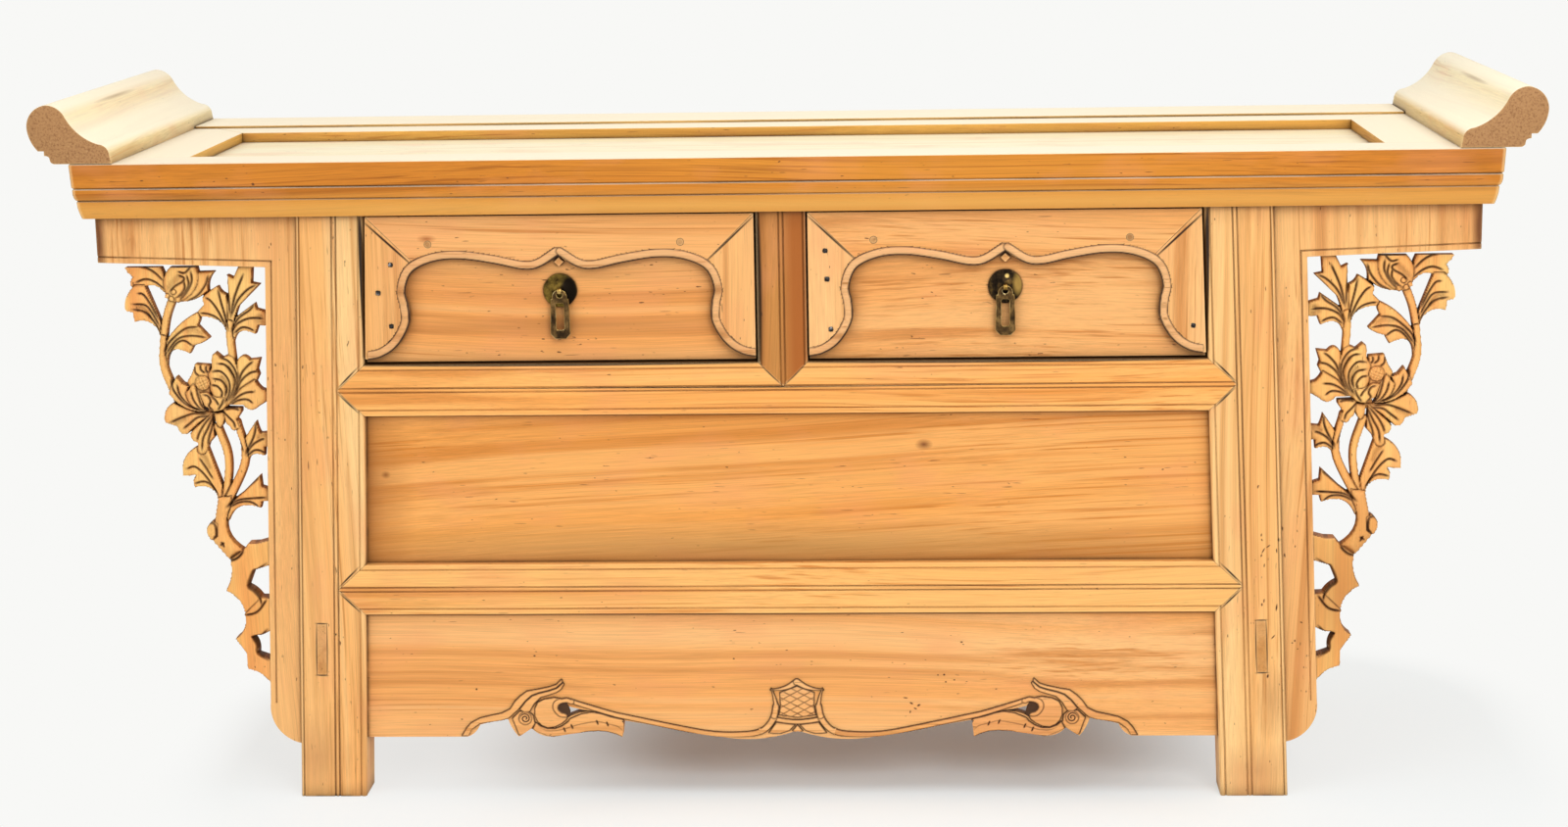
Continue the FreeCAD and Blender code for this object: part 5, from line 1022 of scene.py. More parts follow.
DRAWER_CENTRE = 253.505
DRAWER_HALF = 223.0
DRAWER_TOP = 692.0
DRAWER_TALL = 170.0
TRIM_FACE = -223.0
LEDGE = -221.8
BEAD_INSET = 4.1
BEAD_HALF = 4.0
BEAD_FORM = {"lift": 1.0, "dome": 2.0, "soft": BEAD_HALF}
BEAD_CLEAR = 0.4        # between the bead's ends and the drawer's
# The strip under the bead, dark with dirt and the painted shade of a groove, and how far it shows
# beside it
STRIP_FORM = {"lift": 1.27, "dome": 0, "soft": 1}
STRIP_HALF = BEAD_HALF + 1.6
ARCH_SHARES = [
    (1.02, 0.968), (0.93, 0.945), (0.847, 0.870), (0.785, 0.730), (0.785, 0.600),
    (0.797, 0.500), (0.755, 0.370), (0.640, 0.300), (0.501, 0.286), (0.330, 0.318),
    (0.186, 0.358), (0.100, 0.345), (0.000, 0.265),
]


def make_arch_bead(centre):
    """The rounded bead that follows the cusped edge of a drawer's trim."""
    carving = Relief((centre - DRAWER_HALF, DRAWER_TOP - DRAWER_TALL),
                     (centre + DRAWER_HALF, DRAWER_TOP - 30), 1.0)
    middles = []
    for side in (-1, 1):
        edge = smooth_line([(u * DRAWER_HALF, DRAWER_TOP - v * DRAWER_TALL)
                            for u, v in ARCH_SHARES], 6)
        run = np.gradient(edge, axis=0)
        run /= np.linalg.norm(run, axis=1)[:, None]
        middle = edge + BEAD_INSET * np.stack([run[:, 1], -run[:, 0]], 1)
        clear = nearest(middle, edge)[0] > BEAD_INSET - 0.1
        middle = middle[clear & (middle[:, 0] > -0.5)] * (side, 1) + (centre, 0)
        middles.append(middle)
        carving.raise_form(within, middle, STRIP_HALF, STRIP_HALF, **STRIP_FORM)
    # The strip painted full dark: old dirt and the painted shade of the groove beside the bead
    carving.dirt[:] = 1
    for middle in middles:
        carving.raise_form(within, middle, BEAD_HALF, BEAD_HALF, **BEAD_FORM)

    def side_limit(points):
        reach = DRAWER_HALF - BEAD_CLEAR
        edge = centre + reach * np.sign(points[:, 0] - centre)
        return reach - np.abs(points[:, 0] - centre), np.stack([edge, points[:, 1]], 1)

    carving.bound(side_limit)
    return carving.finished(LEDGE)


# Nails and plugs: shares of a front's width from its left as seen, and of its height down
NAILS = {
    "left": [(0.069, 0.326), (0.034, 0.516), (0.065, 0.744)],
    "right": [(0.044, 0.260), (0.048, 0.450), (0.056, 0.790), (0.974, 0.785)],
}
PLUGS = [(0.167, 0.190), (0.813, 0.190)]
NAIL_HEAD = 6.2
NAIL_TURNS = (0.7, 0.3, 0.9, 0.5)
NAIL_STAND = 2.6
NAIL_OBLONG = 0.9       # a head's height as a share of its width
NAIL_SUNK = 0.5
NAIL_EASE = 0.7
NAIL_UNEVEN = 0.6       # how far the hammer moved each corner of a head
NAIL_TAPER = 0.72       # the head's face as a share of its foot
PLUG_RADIUS = 3.95
PLUG_LENGTH = 6.0
PLUG_SUNK = 2.8         # the middle of a plug behind the trim's face
PLUG_EASE = 0.35


def front_place(centre, u, v):
    """Millimetres across and up for a share of a drawer front's width and height."""
    return centre + (2 * u - 1) * DRAWER_HALF, DRAWER_TOP - v * DRAWER_TALL


def make_nails(tag, centre):
    """Hammered iron heads, no two alike, sunk a little into the trim."""
    draws = np.random.default_rng(5 if tag == "left" else 6)
    nails = bmesh.new()
    for (u, v), turn in zip(NAILS[tag], NAIL_TURNS):
        x, z = front_place(centre, u, v)
        head = bmesh.ops.create_cube(nails, size=1.0)["verts"]
        faces = {f for vert in head for f in vert.link_faces}
        bmesh.ops.scale(nails, verts=head,
                        vec=Vector((1, NAIL_STAND / NAIL_HEAD, NAIL_OBLONG)) * NAIL_HEAD * MM)
        for vert in head:
            vert.co += Vector(draws.uniform(-NAIL_UNEVEN, NAIL_UNEVEN, 3)) * MM
            if vert.co.y < 0:
                vert.co.x *= NAIL_TAPER
                vert.co.z *= NAIL_TAPER
        bmesh.ops.rotate(nails, verts=head, matrix=Matrix.Rotation(turn, 3, "Y"))
        bmesh.ops.translate(nails, verts=head, vec=Vector((x, TRIM_FACE + NAIL_SUNK, z)) * MM)
        edges = {e for f in faces for e in f.edges}
        bmesh.ops.bevel(nails, geom=list(edges), offset=NAIL_EASE * MM, segments=2, profile=0.5,
                        affect="EDGES", material=-1)
    return nails


def make_plugs(centre):
    """Round wooden plugs, cut flush and left a hair proud."""
    plugs = bmesh.new()
    for u, v in PLUGS:
        x, z = front_place(centre, u, v)
        plug = bmesh.ops.create_cone(plugs, cap_ends=True, segments=28, radius1=PLUG_RADIUS * MM,
                                     radius2=PLUG_RADIUS * MM, depth=PLUG_LENGTH * MM)["verts"]
        bmesh.ops.rotate(plugs, verts=plug, matrix=Matrix.Rotation(math.pi / 2, 3, "X"))
        bmesh.ops.translate(plugs, verts=plug, vec=(x * MM, (TRIM_FACE + PLUG_SUNK) * MM, z * MM))
        rims = {e for vert in plug for e in vert.link_edges if len(e.link_faces[0].verts) > 4
                or len(e.link_faces[1].verts) > 4}
        bmesh.ops.bevel(plugs, geom=list(rims), offset=PLUG_EASE * MM, segments=2, profile=0.5,
                        affect="EDGES", material=-1)
    return plugs


PULL_HEIGHT = 604.0
DRAWER_FACE = -212.0
PLATE_RADIUS = 19.5
PLATE_OUT_OF_ROUND = 0.010
PLATE_DENT = 0.16
# The plate's section from its middle out: radius and how far it stands off the drawer
PLATE_SECTION = [
    (0.0, 3.6), (4.0, 3.9), (6.6, 3.7), (8.2, 2.9), (12.0, 2.3), (15.0, 1.9), (17.2, 2.1),
    (18.6, 2.2), (19.4, 1.7), (19.5, 0.9), (19.2, 0.0), (0.0, 0.0),
]


def make_pull_plate(centre, seed):
    """A round backplate beaten from sheet, with a low boss, a rolled rim and small dents."""
    plate = bmesh.new()
    section = [plate.verts.new((r * MM, -stand * MM, 0)) for r, stand in PLATE_SECTION]
    edges = [plate.edges.new(pair) for pair in zip(section, section[1:])]
    bmesh.ops.spin(plate, geom=section + edges, axis=(0, 1, 0), cent=(0, 0, 0),
                   angle=2 * math.pi, steps=56, use_merge=True)
    bmesh.ops.remove_doubles(plate, verts=plate.verts, dist=0.01 * MM)
    draws = np.random.default_rng(seed)
    waves = draws.uniform(-1, 1, (6, 2))
    for vert in plate.verts:
        radius = math.hypot(vert.co.x, vert.co.z)
        turn = math.atan2(vert.co.z, vert.co.x)
        wave = sum(a * math.cos((k + 2) * turn + 3 * b) for k, (a, b) in enumerate(waves))
        share = radius / (PLATE_RADIUS * MM)
        vert.co.x *= 1 - PLATE_OUT_OF_ROUND * abs(wave) * share
        vert.co.z *= 1 - PLATE_OUT_OF_ROUND * abs(wave) * share
        if vert.co.y < -0.5 * MM:
            vert.co.y += PLATE_DENT * MM * wave * share
    bmesh.ops.recalc_face_normals(plate, faces=plate.faces)
    bmesh.ops.translate(plate, verts=plate.verts,
                        vec=(centre * MM, DRAWER_FACE * MM, PULL_HEIGHT * MM))
    return plate


# The flanges' scrolled section: shares of the width and height, and each side's bulge
FLANGE_FOOT = 755.0
FLANGE_WIDTH = 95.0
FLANGE_HEIGHT = 67.0
FLANGE_RUNS = 12        # runs to an arc of the section
FLANGE_EASE = 1.2
TOP_HEIGHT = 758.0
TOP_DEPTH = 480.0
FLANGE_SHARES = [
    (0.00, 0.00, 0.00), (0.02, 0.14, -0.20), (0.15, 0.33, 0.10), (0.53, 0.79, -0.14),
    (0.75, 1.00, -0.20), (1.00, 0.62, -0.09), (0.88, 0.22, 0.00), (0.81, 0.22, 0.00),
    (0.81, 0.14, 0.12), (0.75, 0.11, 0.00), (0.74, 0.04, -0.10), (0.69, 0.00, 0.00),
]


def make_flange(side):
    """An everted flange: a scroll drawn along the end of the top, its ends eased."""
    line = []
    for (u0, w0, bulge), (u1, w1, _) in zip(FLANGE_SHARES, FLANGE_SHARES[1:] + FLANGE_SHARES[:1]):
        start = np.array((FLANGE_FOOT + u0 * FLANGE_WIDTH, TOP_HEIGHT + w0 * FLANGE_HEIGHT))
        end = np.array((FLANGE_FOOT + u1 * FLANGE_WIDTH, TOP_HEIGHT + w1 * FLANGE_HEIGHT))
        run = end - start
        half = math.atan(2 * abs(bulge))
        line.append(start)
        for t in np.arange(1, FLANGE_RUNS) / FLANGE_RUNS if bulge else ():
            # A point on the arc through the two ends and the bulge's crown
            angle = 2 * half * (2 * t - 1)
            reach = np.linalg.norm(run) / 2 / math.sin(2 * half)
            along = reach * math.sin(angle)
            rise = reach * (math.cos(angle) - math.cos(2 * half)) * math.copysign(1, bulge)
            unit = run / np.linalg.norm(run)
            line.append((start + end) / 2 + unit * along + np.array((unit[1], -unit[0])) * rise)
    flange = bmesh.new()
    ring = [flange.verts.new((side * x * MM, -TOP_DEPTH / 2 * MM, z * MM)) for x, z in line]
    face = flange.faces.new(ring)
    pushed = bmesh.ops.extrude_face_region(flange, geom=[face])["geom"]
    pushed = [v for v in pushed if isinstance(v, bmesh.types.BMVert)]
    bmesh.ops.translate(flange, verts=pushed, vec=(0, TOP_DEPTH * MM, 0))
    bmesh.ops.recalc_face_normals(flange, faces=flange.faces)
    rims = {e for f in flange.faces if len(f.verts) > 4 for e in f.edges}
    bmesh.ops.bevel(flange, geom=list(rims), offset=FLANGE_EASE * MM, segments=3, profile=0.5,
                    affect="EDGES", material=-1, clamp_overlap=True)
    return flange


# The top's frame. Its moulded edge from the top down: how far in and how far down
EDGE_SECTION = [
    (1.5, 0.0), (0.0, 1.5), (1.4, 27.4), (3.4, 28.8), (1.9, 30.2), (2.1, 35.5), (3.1, 39.5),
    (4.4, 42.0), (6.3, 43.0), (5.2, 44.4), (5.8, 51.0), (7.4, 58.0), (9.4, 64.0),
]
TOP_HALF = 805.0
TOP_UNDER = 694.0
RECESS_HALF = 681.0
FRONT_WIDTH = 60.0
BACK_WIDTH = 158.0
JOINT_GAP = 0.2
BAND_WIDTH = 101.0
BAND_RISE = 3.0


def draw_member(top, distance, turn, width, half, cuts):
    """Draws out one member of the frame, turns it to its side and cuts it at its joints."""
    line = [(inward, TOP_HEIGHT - down) for inward, down in EDGE_SECTION]
    line += [(width, TOP_UNDER), (width, TOP_HEIGHT)]
    ring = [top.verts.new((-half * MM, (inward - distance) * MM, z * MM)) for inward, z in line]
    face = top.faces.new(ring)
    pushed = bmesh.ops.extrude_face_region(top, geom=[face])["geom"]
    pushed = [v for v in pushed if isinstance(v, bmesh.types.BMVert)]
    bmesh.ops.translate(top, verts=pushed, vec=(2 * half * MM, 0, 0))
    bmesh.ops.rotate(top, verts=ring + pushed, matrix=Matrix.Rotation(turn, 3, "Z"))
    member = set(ring + pushed)
    for (x, y), (away_x, away_y) in cuts:
        away = Vector((away_x, away_y, 0)).normalized()
        geom = [part for part in (*top.verts, *top.edges, *top.faces)
                if member.issuperset(getattr(part, "verts", [part]))]
        cut = bmesh.ops.bisect_plane(top, geom=geom, plane_co=Vector((x, y, 0)) * MM
                                     - away * JOINT_GAP * MM, plane_no=away, clear_outer=True)
        rim = [part for part in cut["geom_cut"] if isinstance(part, bmesh.types.BMEdge)]
        bmesh.ops.contextual_create(top, geom=rim)
        member = {v for v in member if v.is_valid} | {v for edge in rim for v in edge.verts}


def make_front_rail():
    """The front member, mitred at the corners."""
    rail = bmesh.new()
    draw_member(rail, TOP_DEPTH / 2, 0, FRONT_WIDTH, TOP_HALF,
                [((side * TOP_HALF, -TOP_DEPTH / 2), (side, 1)) for side in (-1, 1)])
    bmesh.ops.recalc_face_normals(rail, faces=rail.faces)
    return rail


def make_back_rail():
    """The wide back member: its rear part stands a little higher than the rest."""
    rail = bmesh.new()
    slant = (BACK_WIDTH, TOP_HALF - RECESS_HALF)
    draw_member(rail, TOP_DEPTH / 2, math.pi, BACK_WIDTH, TOP_HALF,
                [((side * TOP_HALF, TOP_DEPTH / 2), (side * slant[0], -slant[1]))
                 for side in (-1, 1)])
    band = bmesh.ops.create_cube(rail, size=1.0)["verts"]
    bmesh.ops.scale(rail, verts=band, vec=(2 * (FLANGE_FOOT - 1) * MM, (BAND_WIDTH - 1) * MM,
                                           2 * BAND_RISE * MM))
    bmesh.ops.translate(rail, verts=band,
                        vec=(0, (TOP_DEPTH - BAND_WIDTH - 1) / 2 * MM, TOP_HEIGHT * MM))
    bmesh.ops.recalc_face_normals(rail, faces=rail.faces)
    return rail


def make_end_rail(side):
    """An end member, mitred into the back one and butted to the front one behind its mitre."""
    rail = bmesh.new()
    width = TOP_HALF - RECESS_HALF
    front, back = -TOP_DEPTH / 2 + FRONT_WIDTH, TOP_DEPTH / 2 - BACK_WIDTH
    turn = side * math.pi / 2
    draw_member(rail, TOP_HALF, turn, width, TOP_DEPTH / 2,
                [((side * RECESS_HALF, back), (-side * BACK_WIDTH, width)), ((0, front), (0, -1))])
    draw_member(rail, TOP_HALF, turn, FRONT_WIDTH, TOP_DEPTH / 2,
                [((side * TOP_HALF, -TOP_DEPTH / 2), (-side, -1)), ((0, front), (0, 1))])
    bmesh.ops.recalc_face_normals(rail, faces=rail.faces)
    return rail


# Tones of each wood, from its dark streaks to its palest bands. All were stripped by hand and left
# dry. The planed boards show their bands clearly, the top is paler, partly bleached by light and
# partly painted top light, the sawn inner boards are duller, the post is darker with painted
# shade, and the carved parts kept their warm tone, with dirt beside each form and painted shade on
# their sides

FRONT = ("#cc7e38", "#efa357", "#f7b36e")
PALE = ("#d58a45", "#f6ac62", "#fdbf7c")
PANEL = ("#d47f2c", "#f0a04c", "#f8af61")
LEG = ("#d28e4a", "#fcb96f", "#ffcd8a")
EDGE = ("#ab6015", "#d07c23", "#de8e2e")
TOP = ("#e2bc7c", "#f3deaa", "#f8ebc6")
BACK = ("#c88631", "#eeb04f", "#fcc96a")
SCROLL = ("#d49f5c", "#f0cf8e", "#f7e4b1")
INNER = ("#b9763c", "#d3934f", "#dfa466")
CARVED = ("#f0924a", "#ffb564", "#ffcb78")
BRACKET = ("#d28947", "#f3b16c", "#fdc37d")
BOARD = ("#d0833e", "#f1a358", "#f7b570")
STILE = ("#ce8645", "#f2ae66", "#fbbf7e")
RAILS = ("#da8639", "#ffad58", "#ffbe6f")
# Dark joint lines, and painted shade in the gaps round the drawers and under the rails
DARK_JOINT_AND_SHADE = "#22130a"
BEAD = ("#b9763c", "#e0a062", "#f0b67c")
# Darker than the boards beside it: painted shade, where the drawers stand proud of it
POST_IN_SHADE = ("#945320", "#bc7536", "#c88642")


def finish_in(material, *names):
    """Gives CAD nodes that keep their shape a finish."""
    for name in names:
        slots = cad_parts[name].data.materials
        slots.clear()
        for one in material if isinstance(material, (list, tuple)) else [material]:
            slots.append(one)


# How far edges are rubbed round, in millimetres, and what counts as an edge, in degrees
EDGE_EASE = 0.7
MOULDED_EASE = 0.5
BRONZE_EASE = 0.4
EDGE_ANGLE = 28


def soften(piece, width):
    """Rubs the sharp edges of a piece round."""
    bevel = piece.modifiers.new("soft edges", "BEVEL")
    bevel.width = width * MM
    bevel.segments = 2
    bevel.limit_method = "ANGLE"
    bevel.angle_limit = math.radians(EDGE_ANGLE)
    bevel.use_clamp_overlap = False
    bevel.miter_outer = "MITER_SHARP"
    return bevel


# Bronze and iron, beaten or cast by hand and never polished since: clouded by patina, with low
# dents, dark dirt in the corners, and a shine only where fingers rub
PATINA_CLOUDS = 1000 / 110      # how broad the clouds are, in millimetres
METAL_DENT = 0.0006             # how deep the dents are, and how far dirt keeps in corners, in m
METAL_CORNER = 0.002
METAL_RAYS = 6


def metal(name, tones, patina, seed, rough=0.42, marks=()):
    """Cast or beaten metal with an uneven patina, small dents and dirt in its corners."""
    material, tree, shader = new_material(name)
    place = node(tree, "ShaderNodeTexCoord").outputs["Object"]
    cloud = node(tree, "ShaderNodeTexNoise", {
        "Vector": place, "Scale": 1000 / PATINA_CLOUDS + seed, "Detail": 4.0,
        "Roughness": 0.6}).outputs["Fac"]
    dark, middle, bright = (colour(tone) for tone in tones)
    tone = node(tree, "ShaderNodeValToRGB", {"Fac": cloud}, stops=[
        (0.36, dark), (0.52, middle), (0.66, bright)]).outputs[0]
    for centre, size, shade, strength in marks:
        mapped = node(tree, "ShaderNodeMapping", {
            "Vector": place, "Location": [-c / s for c, s in zip(centre, size)],
            "Scale": [1 / s for s in size]})
        ball = node(tree, "ShaderNodeTexGradient", {"Vector": mapped.outputs[0]},
                    gradient_type="SPHERICAL")
        share = node(tree, "ShaderNodeMath", {0: ball.outputs["Fac"], 1: strength},
                     operation="MULTIPLY", use_clamp=True)
        tone = node(tree, "ShaderNodeMix", {0: share.outputs[0], 6: tone, 7: colour(shade)},
                    data_type="RGBA").outputs[2]
    dirt = node(tree, "ShaderNodeAmbientOcclusion", {"Distance": METAL_CORNER},
                samples=METAL_RAYS)
    share = node(tree, "ShaderNodeMapRange", {"Value": dirt.outputs["AO"], "From Min": 0.3,
                                              "From Max": 0.95, "To Min": 0.9, "To Max": 0.0})
    tone = node(tree, "ShaderNodeMix", {0: share.outputs[0], 6: tone, 7: colour(patina)},
                data_type="RGBA").outputs[2]
    tree.links.new(tone, shader.inputs["Base Color"])
    shader.inputs["Metallic"].default_value = 1.0
    sheen = node(tree, "ShaderNodeMapRange", {"Value": cloud, "From Min": 0.3, "From Max": 0.7,
                                              "To Min": rough + 0.15, "To Max": rough - 0.08})
    tree.links.new(sheen.outputs[0], shader.inputs["Roughness"])
    dents = node(tree, "ShaderNodeBump", {"Height": cloud, "Distance": METAL_DENT,
                                          "Strength": 0.5})
    tree.links.new(dents.outputs[0], shader.inputs["Normal"])
    return material


drop_dark = metal("dark patinated bronze, drops", ("#35281a", "#5a4429", "#8a6b40"), "#120d08", 5)
drop_edge = metal("worn bronze edges", ("#8a6f3c", "#c4a361", "#e6cf94"), "#3a2a14", 9, rough=0.3)
staple = metal("rubbed brass strap", ("#7a5c2a", "#b3904c", "#dcbf7c"), "#1c130a", 13, rough=0.34)
iron = metal("hammered iron, nails", ("#1f1d1c", "#4a4745", "#b4b4b6"), "#0b0a0a", 17, rough=0.36)
PLATE_TONES = {
    "left": ("#3b2e16", "#6b5626", "#8b7233"),
    "right": ("#1c1611", "#33281b", "#5b4524"),
}
PLATE_MARKS = {
    "left": [((-0.243, -0.214, 0.604), (0.013, 0.02, 0.024), "#1d1711", 2.2)],
    "right": [((0.268, -0.214, 0.607), (0.007, 0.02, 0.016), "#a58344", 1.6),
              ((0.2555, -0.214, 0.616), (0.003, 0.02, 0.003), "#d8b870", 2.0)],
}


def pits(places):
    """Small dark pits: each with its x and z, half its width and height, and its turn."""
    return [((x * MM, -0.21, z * MM), (wide * MM, 0.1, tall * MM), "#4a2510", 1.6, turn)
            for x, z, wide, tall, turn in places]


# Stains, each with its place, size, tone and strength
BOARD_MARKS = {
    "left": [((-0.26, -0.212, 0.563), (0.28, 0.1, 0.012), "#b8733a", 0.7)],
    "right": [((0.30, -0.212, 0.640), (0.20, 0.1, 0.014), "#b8733a", 0.5)],
}
LEG_MARKS = {
    "left": [((-0.56, -0.22, 0.05), (0.05, 0.1, 0.06), "#b98050", 0.5)],
    "right": [((0.560, -0.22, 0.115), (0.020, 0.1, 0.05), "#b07a48", 0.5),
              ((0.545, -0.22, 0.030), (0.05, 0.1, 0.04), "#b98050", 0.5)] + pits([
                  (545.5, 313.6, 1.0, 2.4, 0.1), (546.2, 307.8, 0.9, 2.0, -0.4),
                  (553.5, 300.2, 1.0, 3.6, 0.9), (548.0, 295.1, 1.0, 4.6, 0.5),
                  (545.9, 289.3, 1.1, 2.2, 0.3), (565.7, 307.7, 2.2, 2.8, 0.0),
                  (563.1, 295.0, 1.0, 3.4, -0.1), (549.4, 277.6, 0.9, 3.0, 0.1),
                  (547.4, 231.1, 1.3, 2.4, 0.0), (564.2, 227.5, 1.4, 5.4, 0.1),
                  (560.9, 192.4, 1.0, 4.0, 0.7), (555.5, 145.4, 1.6, 3.2, 0.2)]),
}
BRACKET_PITS = {"left": [], "right": pits([
    (593.6, 208.0, 2.0, 1.1, 0.4), (586.5, 186.0, 1.3, 1.7, 0.0), (590.0, 176.2, 1.0, 1.0, 0.0),
    (583.7, 183.4, 1.3, 1.0, 0.0)])}
APRON_PITS = pits([
    (181.5, 145.8, 1.7, 1.5, 0.0), (174.3, 145.5, 1.3, 1.1, 0.0), (183.4, 137.1, 1.5, 1.2, 0.0),
    (193.4, 139.5, 1.6, 1.1, 0.0), (136.3, 117.8, 3.4, 1.0, 0.1), (143.1, 111.2, 2.8, 1.4, 0.5),
    (151.7, 108.7, 2.8, 1.6, -0.5), (147.7, 104.7, 2.4, 1.1, 0.4), (141.7, 100.7, 1.1, 2.2, 0.2),
    (-298.2, 170.2, 1.8, 1.3, 0.0), (-64.0, 165.9, 1.6, 1.2, 0.0), (-368.2, 129.6, 1.5, 1.7, 0.0),
    (202.0, 185.2, 2.0, 1.3, 0.0)])

# The dark gaps round the end of the low side rail's tenon: x, z, half width, half height
TENON_GAPS = ((541.6, 181.0, 1.3, 37.0), (553.9, 181.0, 1.3, 37.0), (549.0, 149.4, 9.5, 1.1),
              (546.5, 212.6, 9.5, 1.1))

PEONY_MARKS = {
    "left": [((-0.640, -0.2, 0.245), (0.10, 0.2, 0.13), "#d08a4a", 0.2)],
    "right": [((0.640, -0.2, 0.245), (0.10, 0.2, 0.16), "#bb783c", 0.65)],
}

# The dark lines of the mitred joints between the rails and the legs
MITRES = [((side * x, -0.22, z + rise * 0.015), (0.022, 0.1, 0.0016), DARK_JOINT_AND_SHADE, 1.4,
           side * rise * math.pi / 4)
          for x, z in ((0.502, 0.490), (0.512, 0.253)) for side in (-1, 1) for rise in (-1, 1)]

plug = wood("softwood end grain, plugs", "y", ("#a5713f", "#c38b53", "#d39c63"), 61, streak=1.2)
for tag, side, seed in (("left", -1, 3), ("right", 1, 47)):
    centre = side * DRAWER_CENTRE
    drawer, pull = "drawer_" + tag, "pull_" + tag
    mitres = [((centre * MM + turn * 0.194, -0.223, 0.661), (0.056, 0.1, 0.0018), "#33190a", 1.6,
               -turn * 0.754) for turn in (-1, 1)]
    board = wood("planed softwood, drawer front " + tag, "x", BOARD, seed,
                 marks=BOARD_MARKS[tag])
    trim = wood("planed softwood, drawer trim " + tag, "x", FRONT, seed + 1, marks=[
        ((-0.403, -0.223, 0.666), (0.012, 0.1, 0.005), "#b0602c", 0.9)] + mitres)
    stile = wood("planed softwood, drawer stiles " + tag, "z", STILE, seed + 2, marks=mitres)
    leg = wood("planed softwood, leg " + tag, "z", LEG, seed + 4, marks=LEG_MARKS[tag] + [
        # A dark line by the drawer's outer edge: painted shade in the gap
        ((side * 0.4795, -0.21, 0.61), (0.0038, 0.1, 0.13), DARK_JOINT_AND_SHADE, 2.6),
        *[((side * x * MM, -0.22, z * MM), (wide * MM, 0.1, tall * MM), DARK_JOINT_AND_SHADE, 1.6,
           -side * LEG_LEAN) for x, z, wide, tall in TENON_GAPS]] + MITRES, soiled=[
        ((side * 0.528, -0.22, 0.347), (0.026, 0.1, 0.8), -side * LEG_LEAN)])
    box = wood("sawn softwood, drawer box " + tag, "y", INNER, seed + 5, streak=0.6)
    bracket = wood("planed softwood, bracket " + tag, "z", BRACKET, seed + 6, marks=[
        ((side * 0.785, -0.205, 0.668), (0.012, 0.1, 0.07), "#7d4a25", 1.4)] + BRACKET_PITS[tag])
    bead = wood("carved softwood, arch bead " + tag, "x", BEAD, seed + 11, carved=1.0,
                worn=0.3)
    carved = wood("carved softwood, peony " + tag, "z", CARVED, seed + 8, streak=0.6,
                  carved=0.85, worn=0.6, marks=PEONY_MARKS[tag])
    finish_in(board, drawer + "_front", drawer + "_back", drawer + "_bottom")
    finish_in(trim, drawer + "_trim_top")
    finish_in(stile, drawer + "_trim_stile_inner", drawer + "_trim_stile_outer")
    finish_in(box, drawer + "_sides")
    finish_in(leg, "front_leg_" + tag, "back_leg_" + tag)
    finish_in(bracket, "bracket_" + tag)
    add_piece("peony_carving_" + tag, carve_spandrel(side < 0), carved, "case",
              replaced=["spandrel_" + tag])
    scroll = wood("bleached softwood, flange " + tag, "y", SCROLL, seed + 9, bleach_and_top_light=0.9,
                  end="#b48354", marks=[((side * 0.808, -0.02, 0.79), (0.002, 0.10, 0.1),
                                         "#8f6a44", 0.7)])
    add_piece("scroll_flange_" + tag, make_flange(side), scroll, "case",
              replaced=["flange_" + tag])
    cloud = wood("carved softwood, cloud scroll " + tag, "x", PALE, seed + 10, carved=1.0,
                 worn=0.15)
    add_piece("cloud_carving_" + tag, make_apron_carving(side), cloud, "case")
    add_piece("arch_bead_" + tag, make_arch_bead(centre), bead, drawer)
    add_piece("nails_" + tag, make_nails(tag, centre), iron, drawer,
              replaced=[drawer + "_trim_pins"])
    add_piece("plugs_" + tag, make_plugs(centre), plug, drawer)
    plate = metal("patinated bronze, backplate " + tag, PLATE_TONES[tag], "#120d08", seed,
                  marks=PLATE_MARKS[tag])
    add_piece("backplate_" + tag, make_pull_plate(centre, seed), plate, drawer,
              replaced=[drawer + "_pull_plate"])
    finish_in([staple, drop_edge], drawer + "_pull_staple")
    finish_in([drop_dark, drop_edge], drawer + "_pull_drop")

shield = wood("carved softwood, shield", "x", PALE, 31, carved=1.0, worn=0.15)
add_piece("shield_carving", make_shield(), shield, "case")
finish_in(wood("planed softwood, front rails", "x", RAILS, 21, marks=[
    # A dark band under the drawers: painted shade in the gap
    ((side * 0.254, -0.21, 0.521), (0.34, 0.1, 0.0045), DARK_JOINT_AND_SHADE, 3.0) for side in (-1, 1)] + [
    ((side * 0.0142, -0.22, 0.5058), (0.021, 0.1, 0.0018), DARK_JOINT_AND_SHADE, 1.4, -side * math.pi / 4)
    for side in (-1, 1)] + MITRES, soiled=[
    ((0, -0.22, z), (1.2, 0.1, 0.022)) for z in (0.490, 0.253)]), "mid_rail", "low_rail")
finish_in(wood("planed softwood, front panel", "x", PANEL, 22, tilt=0.055, marks=[
    ((0.160, -0.205, 0.420), (0.011, 0.1, 0.007), "#8f5427", 1.1),
    ((-0.465, -0.205, 0.388), (0.006, 0.1, 0.005), "#8f5427", 1.1),
    ((0.0, -0.205, 0.300), (0.8, 0.1, 0.035), "#b98646", 0.8),
    # A darker left end: painted shade beside the leg
    ((-0.50, -0.205, 0.37), (0.07, 0.1, 0.2), "#a9682c", 0.9),
    # A dark line along the top: painted shade under the rail
    ((0, -0.208, 0.4595), (1.2, 0.1, 0.0036), DARK_JOINT_AND_SHADE, 1.6)]), "front_panel")
finish_in(wood("planed softwood, apron", "x", PALE, 23, marks=[
    # A dark line along the top: painted shade under the low rail
    ((0, -0.212, 0.2225), (1.2, 0.1, 0.0036), DARK_JOINT_AND_SHADE, 2.0)] + APRON_PITS), "front_apron")
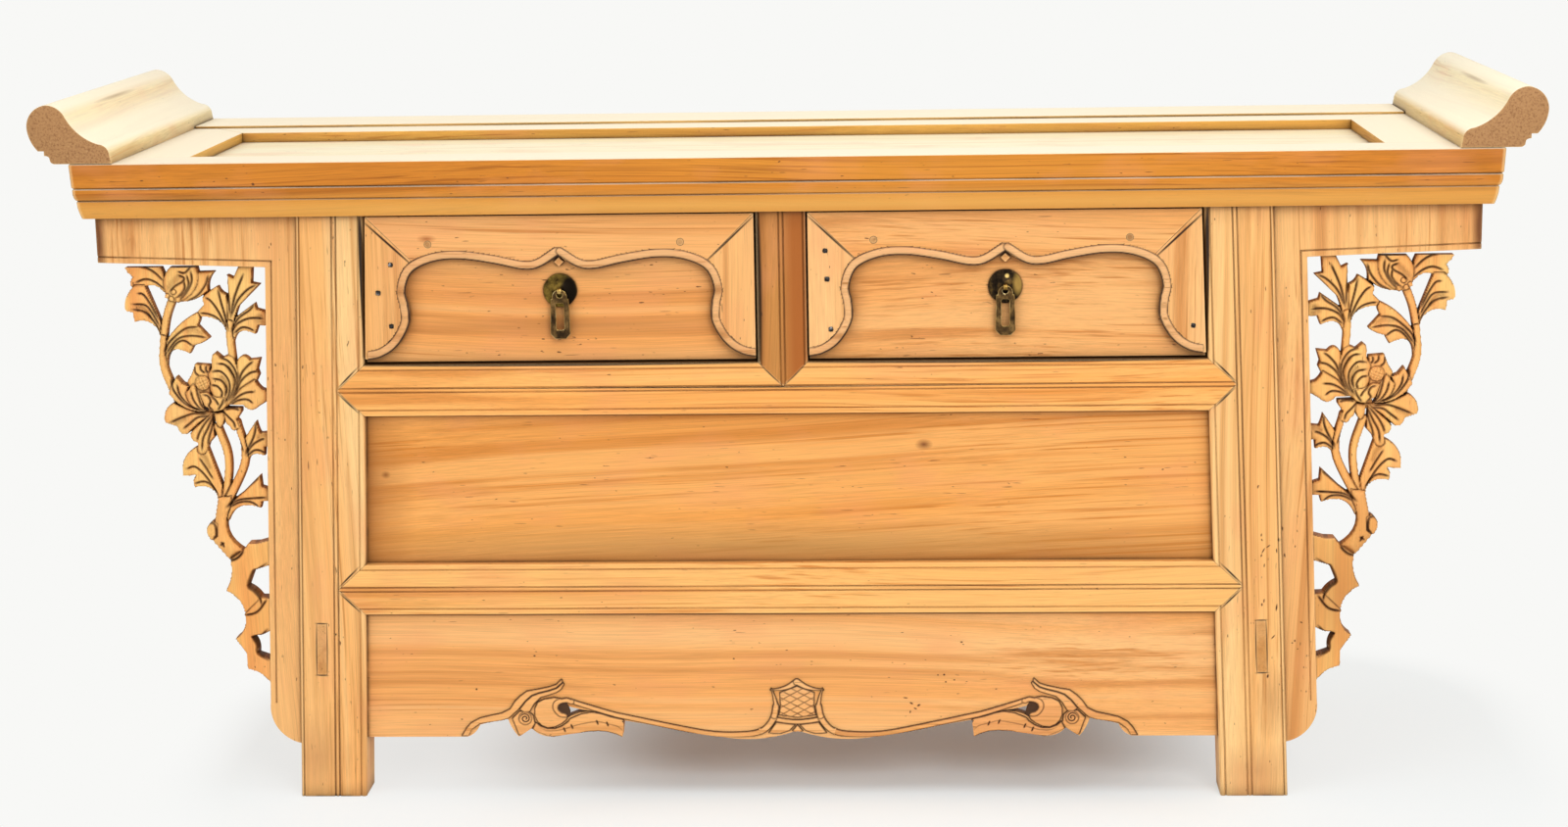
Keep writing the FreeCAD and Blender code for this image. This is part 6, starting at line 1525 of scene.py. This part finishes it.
finish_in(wood("planed softwood, post", "z", POST_IN_SHADE, 24, marks=[
    # Its right half darker still: painted shade
    ((0.024, -0.2, 0.62), (0.030, 0.2, 0.6), "#af6224", 1.6),
    # A dark line by the left drawer's inner edge: painted shade in the gap
    ((-0.0300, -0.22, 0.605), (0.009, 0.2, 0.14), DARK_JOINT_AND_SHADE, 3.0)]), "drawer_post")
finish_in(wood("bleached softwood, top panel", "x", TOP, 25, bleach_and_top_light=0.3, streak=0.5), "top_panel")
edge = wood("bleached softwood, moulded edge", "x", EDGE, 26, bleach_and_top_light=0.92, breaks=1.0, marks=[
    ((0, -0.235, 0.702), (3, 0.03, 0.022), "#efb058", 0.8)])
back_member = wood("bleached softwood, back member", "x", BACK, 28, bleach_and_top_light=0.92)
end_rail = wood("bleached softwood, end rails", "y", BACK, 27, bleach_and_top_light=0.92)
for tag, piece in (("front", make_front_rail()), ("back", make_back_rail()),
                   ("left", make_end_rail(-1)), ("right", make_end_rail(1))):
    member = {"front": edge, "back": back_member}.get(tag, end_rail)
    piece = add_piece("top_rail_moulded_" + tag, piece, member, "case",
                      sharp=20, replaced=["top_rail_" + tag])
    soften(piece, MOULDED_EASE)
finish_in(wood("sawn softwood, inside lengthwise", "x", INNER, 29, streak=0.6), "back_rail_mid",
          "back_rail_low", "back_panel_lower", "back_panel_upper", "compartment_floor")
finish_in(wood("sawn softwood, inside crosswise", "y", INNER, 30, streak=0.6), "top_battens",
          "drawer_runners", *[f"side_{part}_{tag}" for tag in ("left", "right")
                              for part in ("rail_top", "rail_mid", "rail_low", "panel_upper",
                                           "panel_lower")])

# CAD nodes come in triangles: joined into whole faces, then rubbed round along their edges. On the
# pulls, the rubbed edges are a second material
for name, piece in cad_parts.items():
    weld = piece.modifiers.new("weld", "WELD")
    weld.merge_threshold = 0.01 * MM
    flat = piece.modifiers.new("whole faces", "DECIMATE")
    flat.decimate_type = "DISSOLVE"
    flat.angle_limit = math.radians(0.4)
    if "_pull_" in name:
        soften(piece, BRONZE_EASE).material = 1
    else:
        soften(piece, EDGE_EASE)
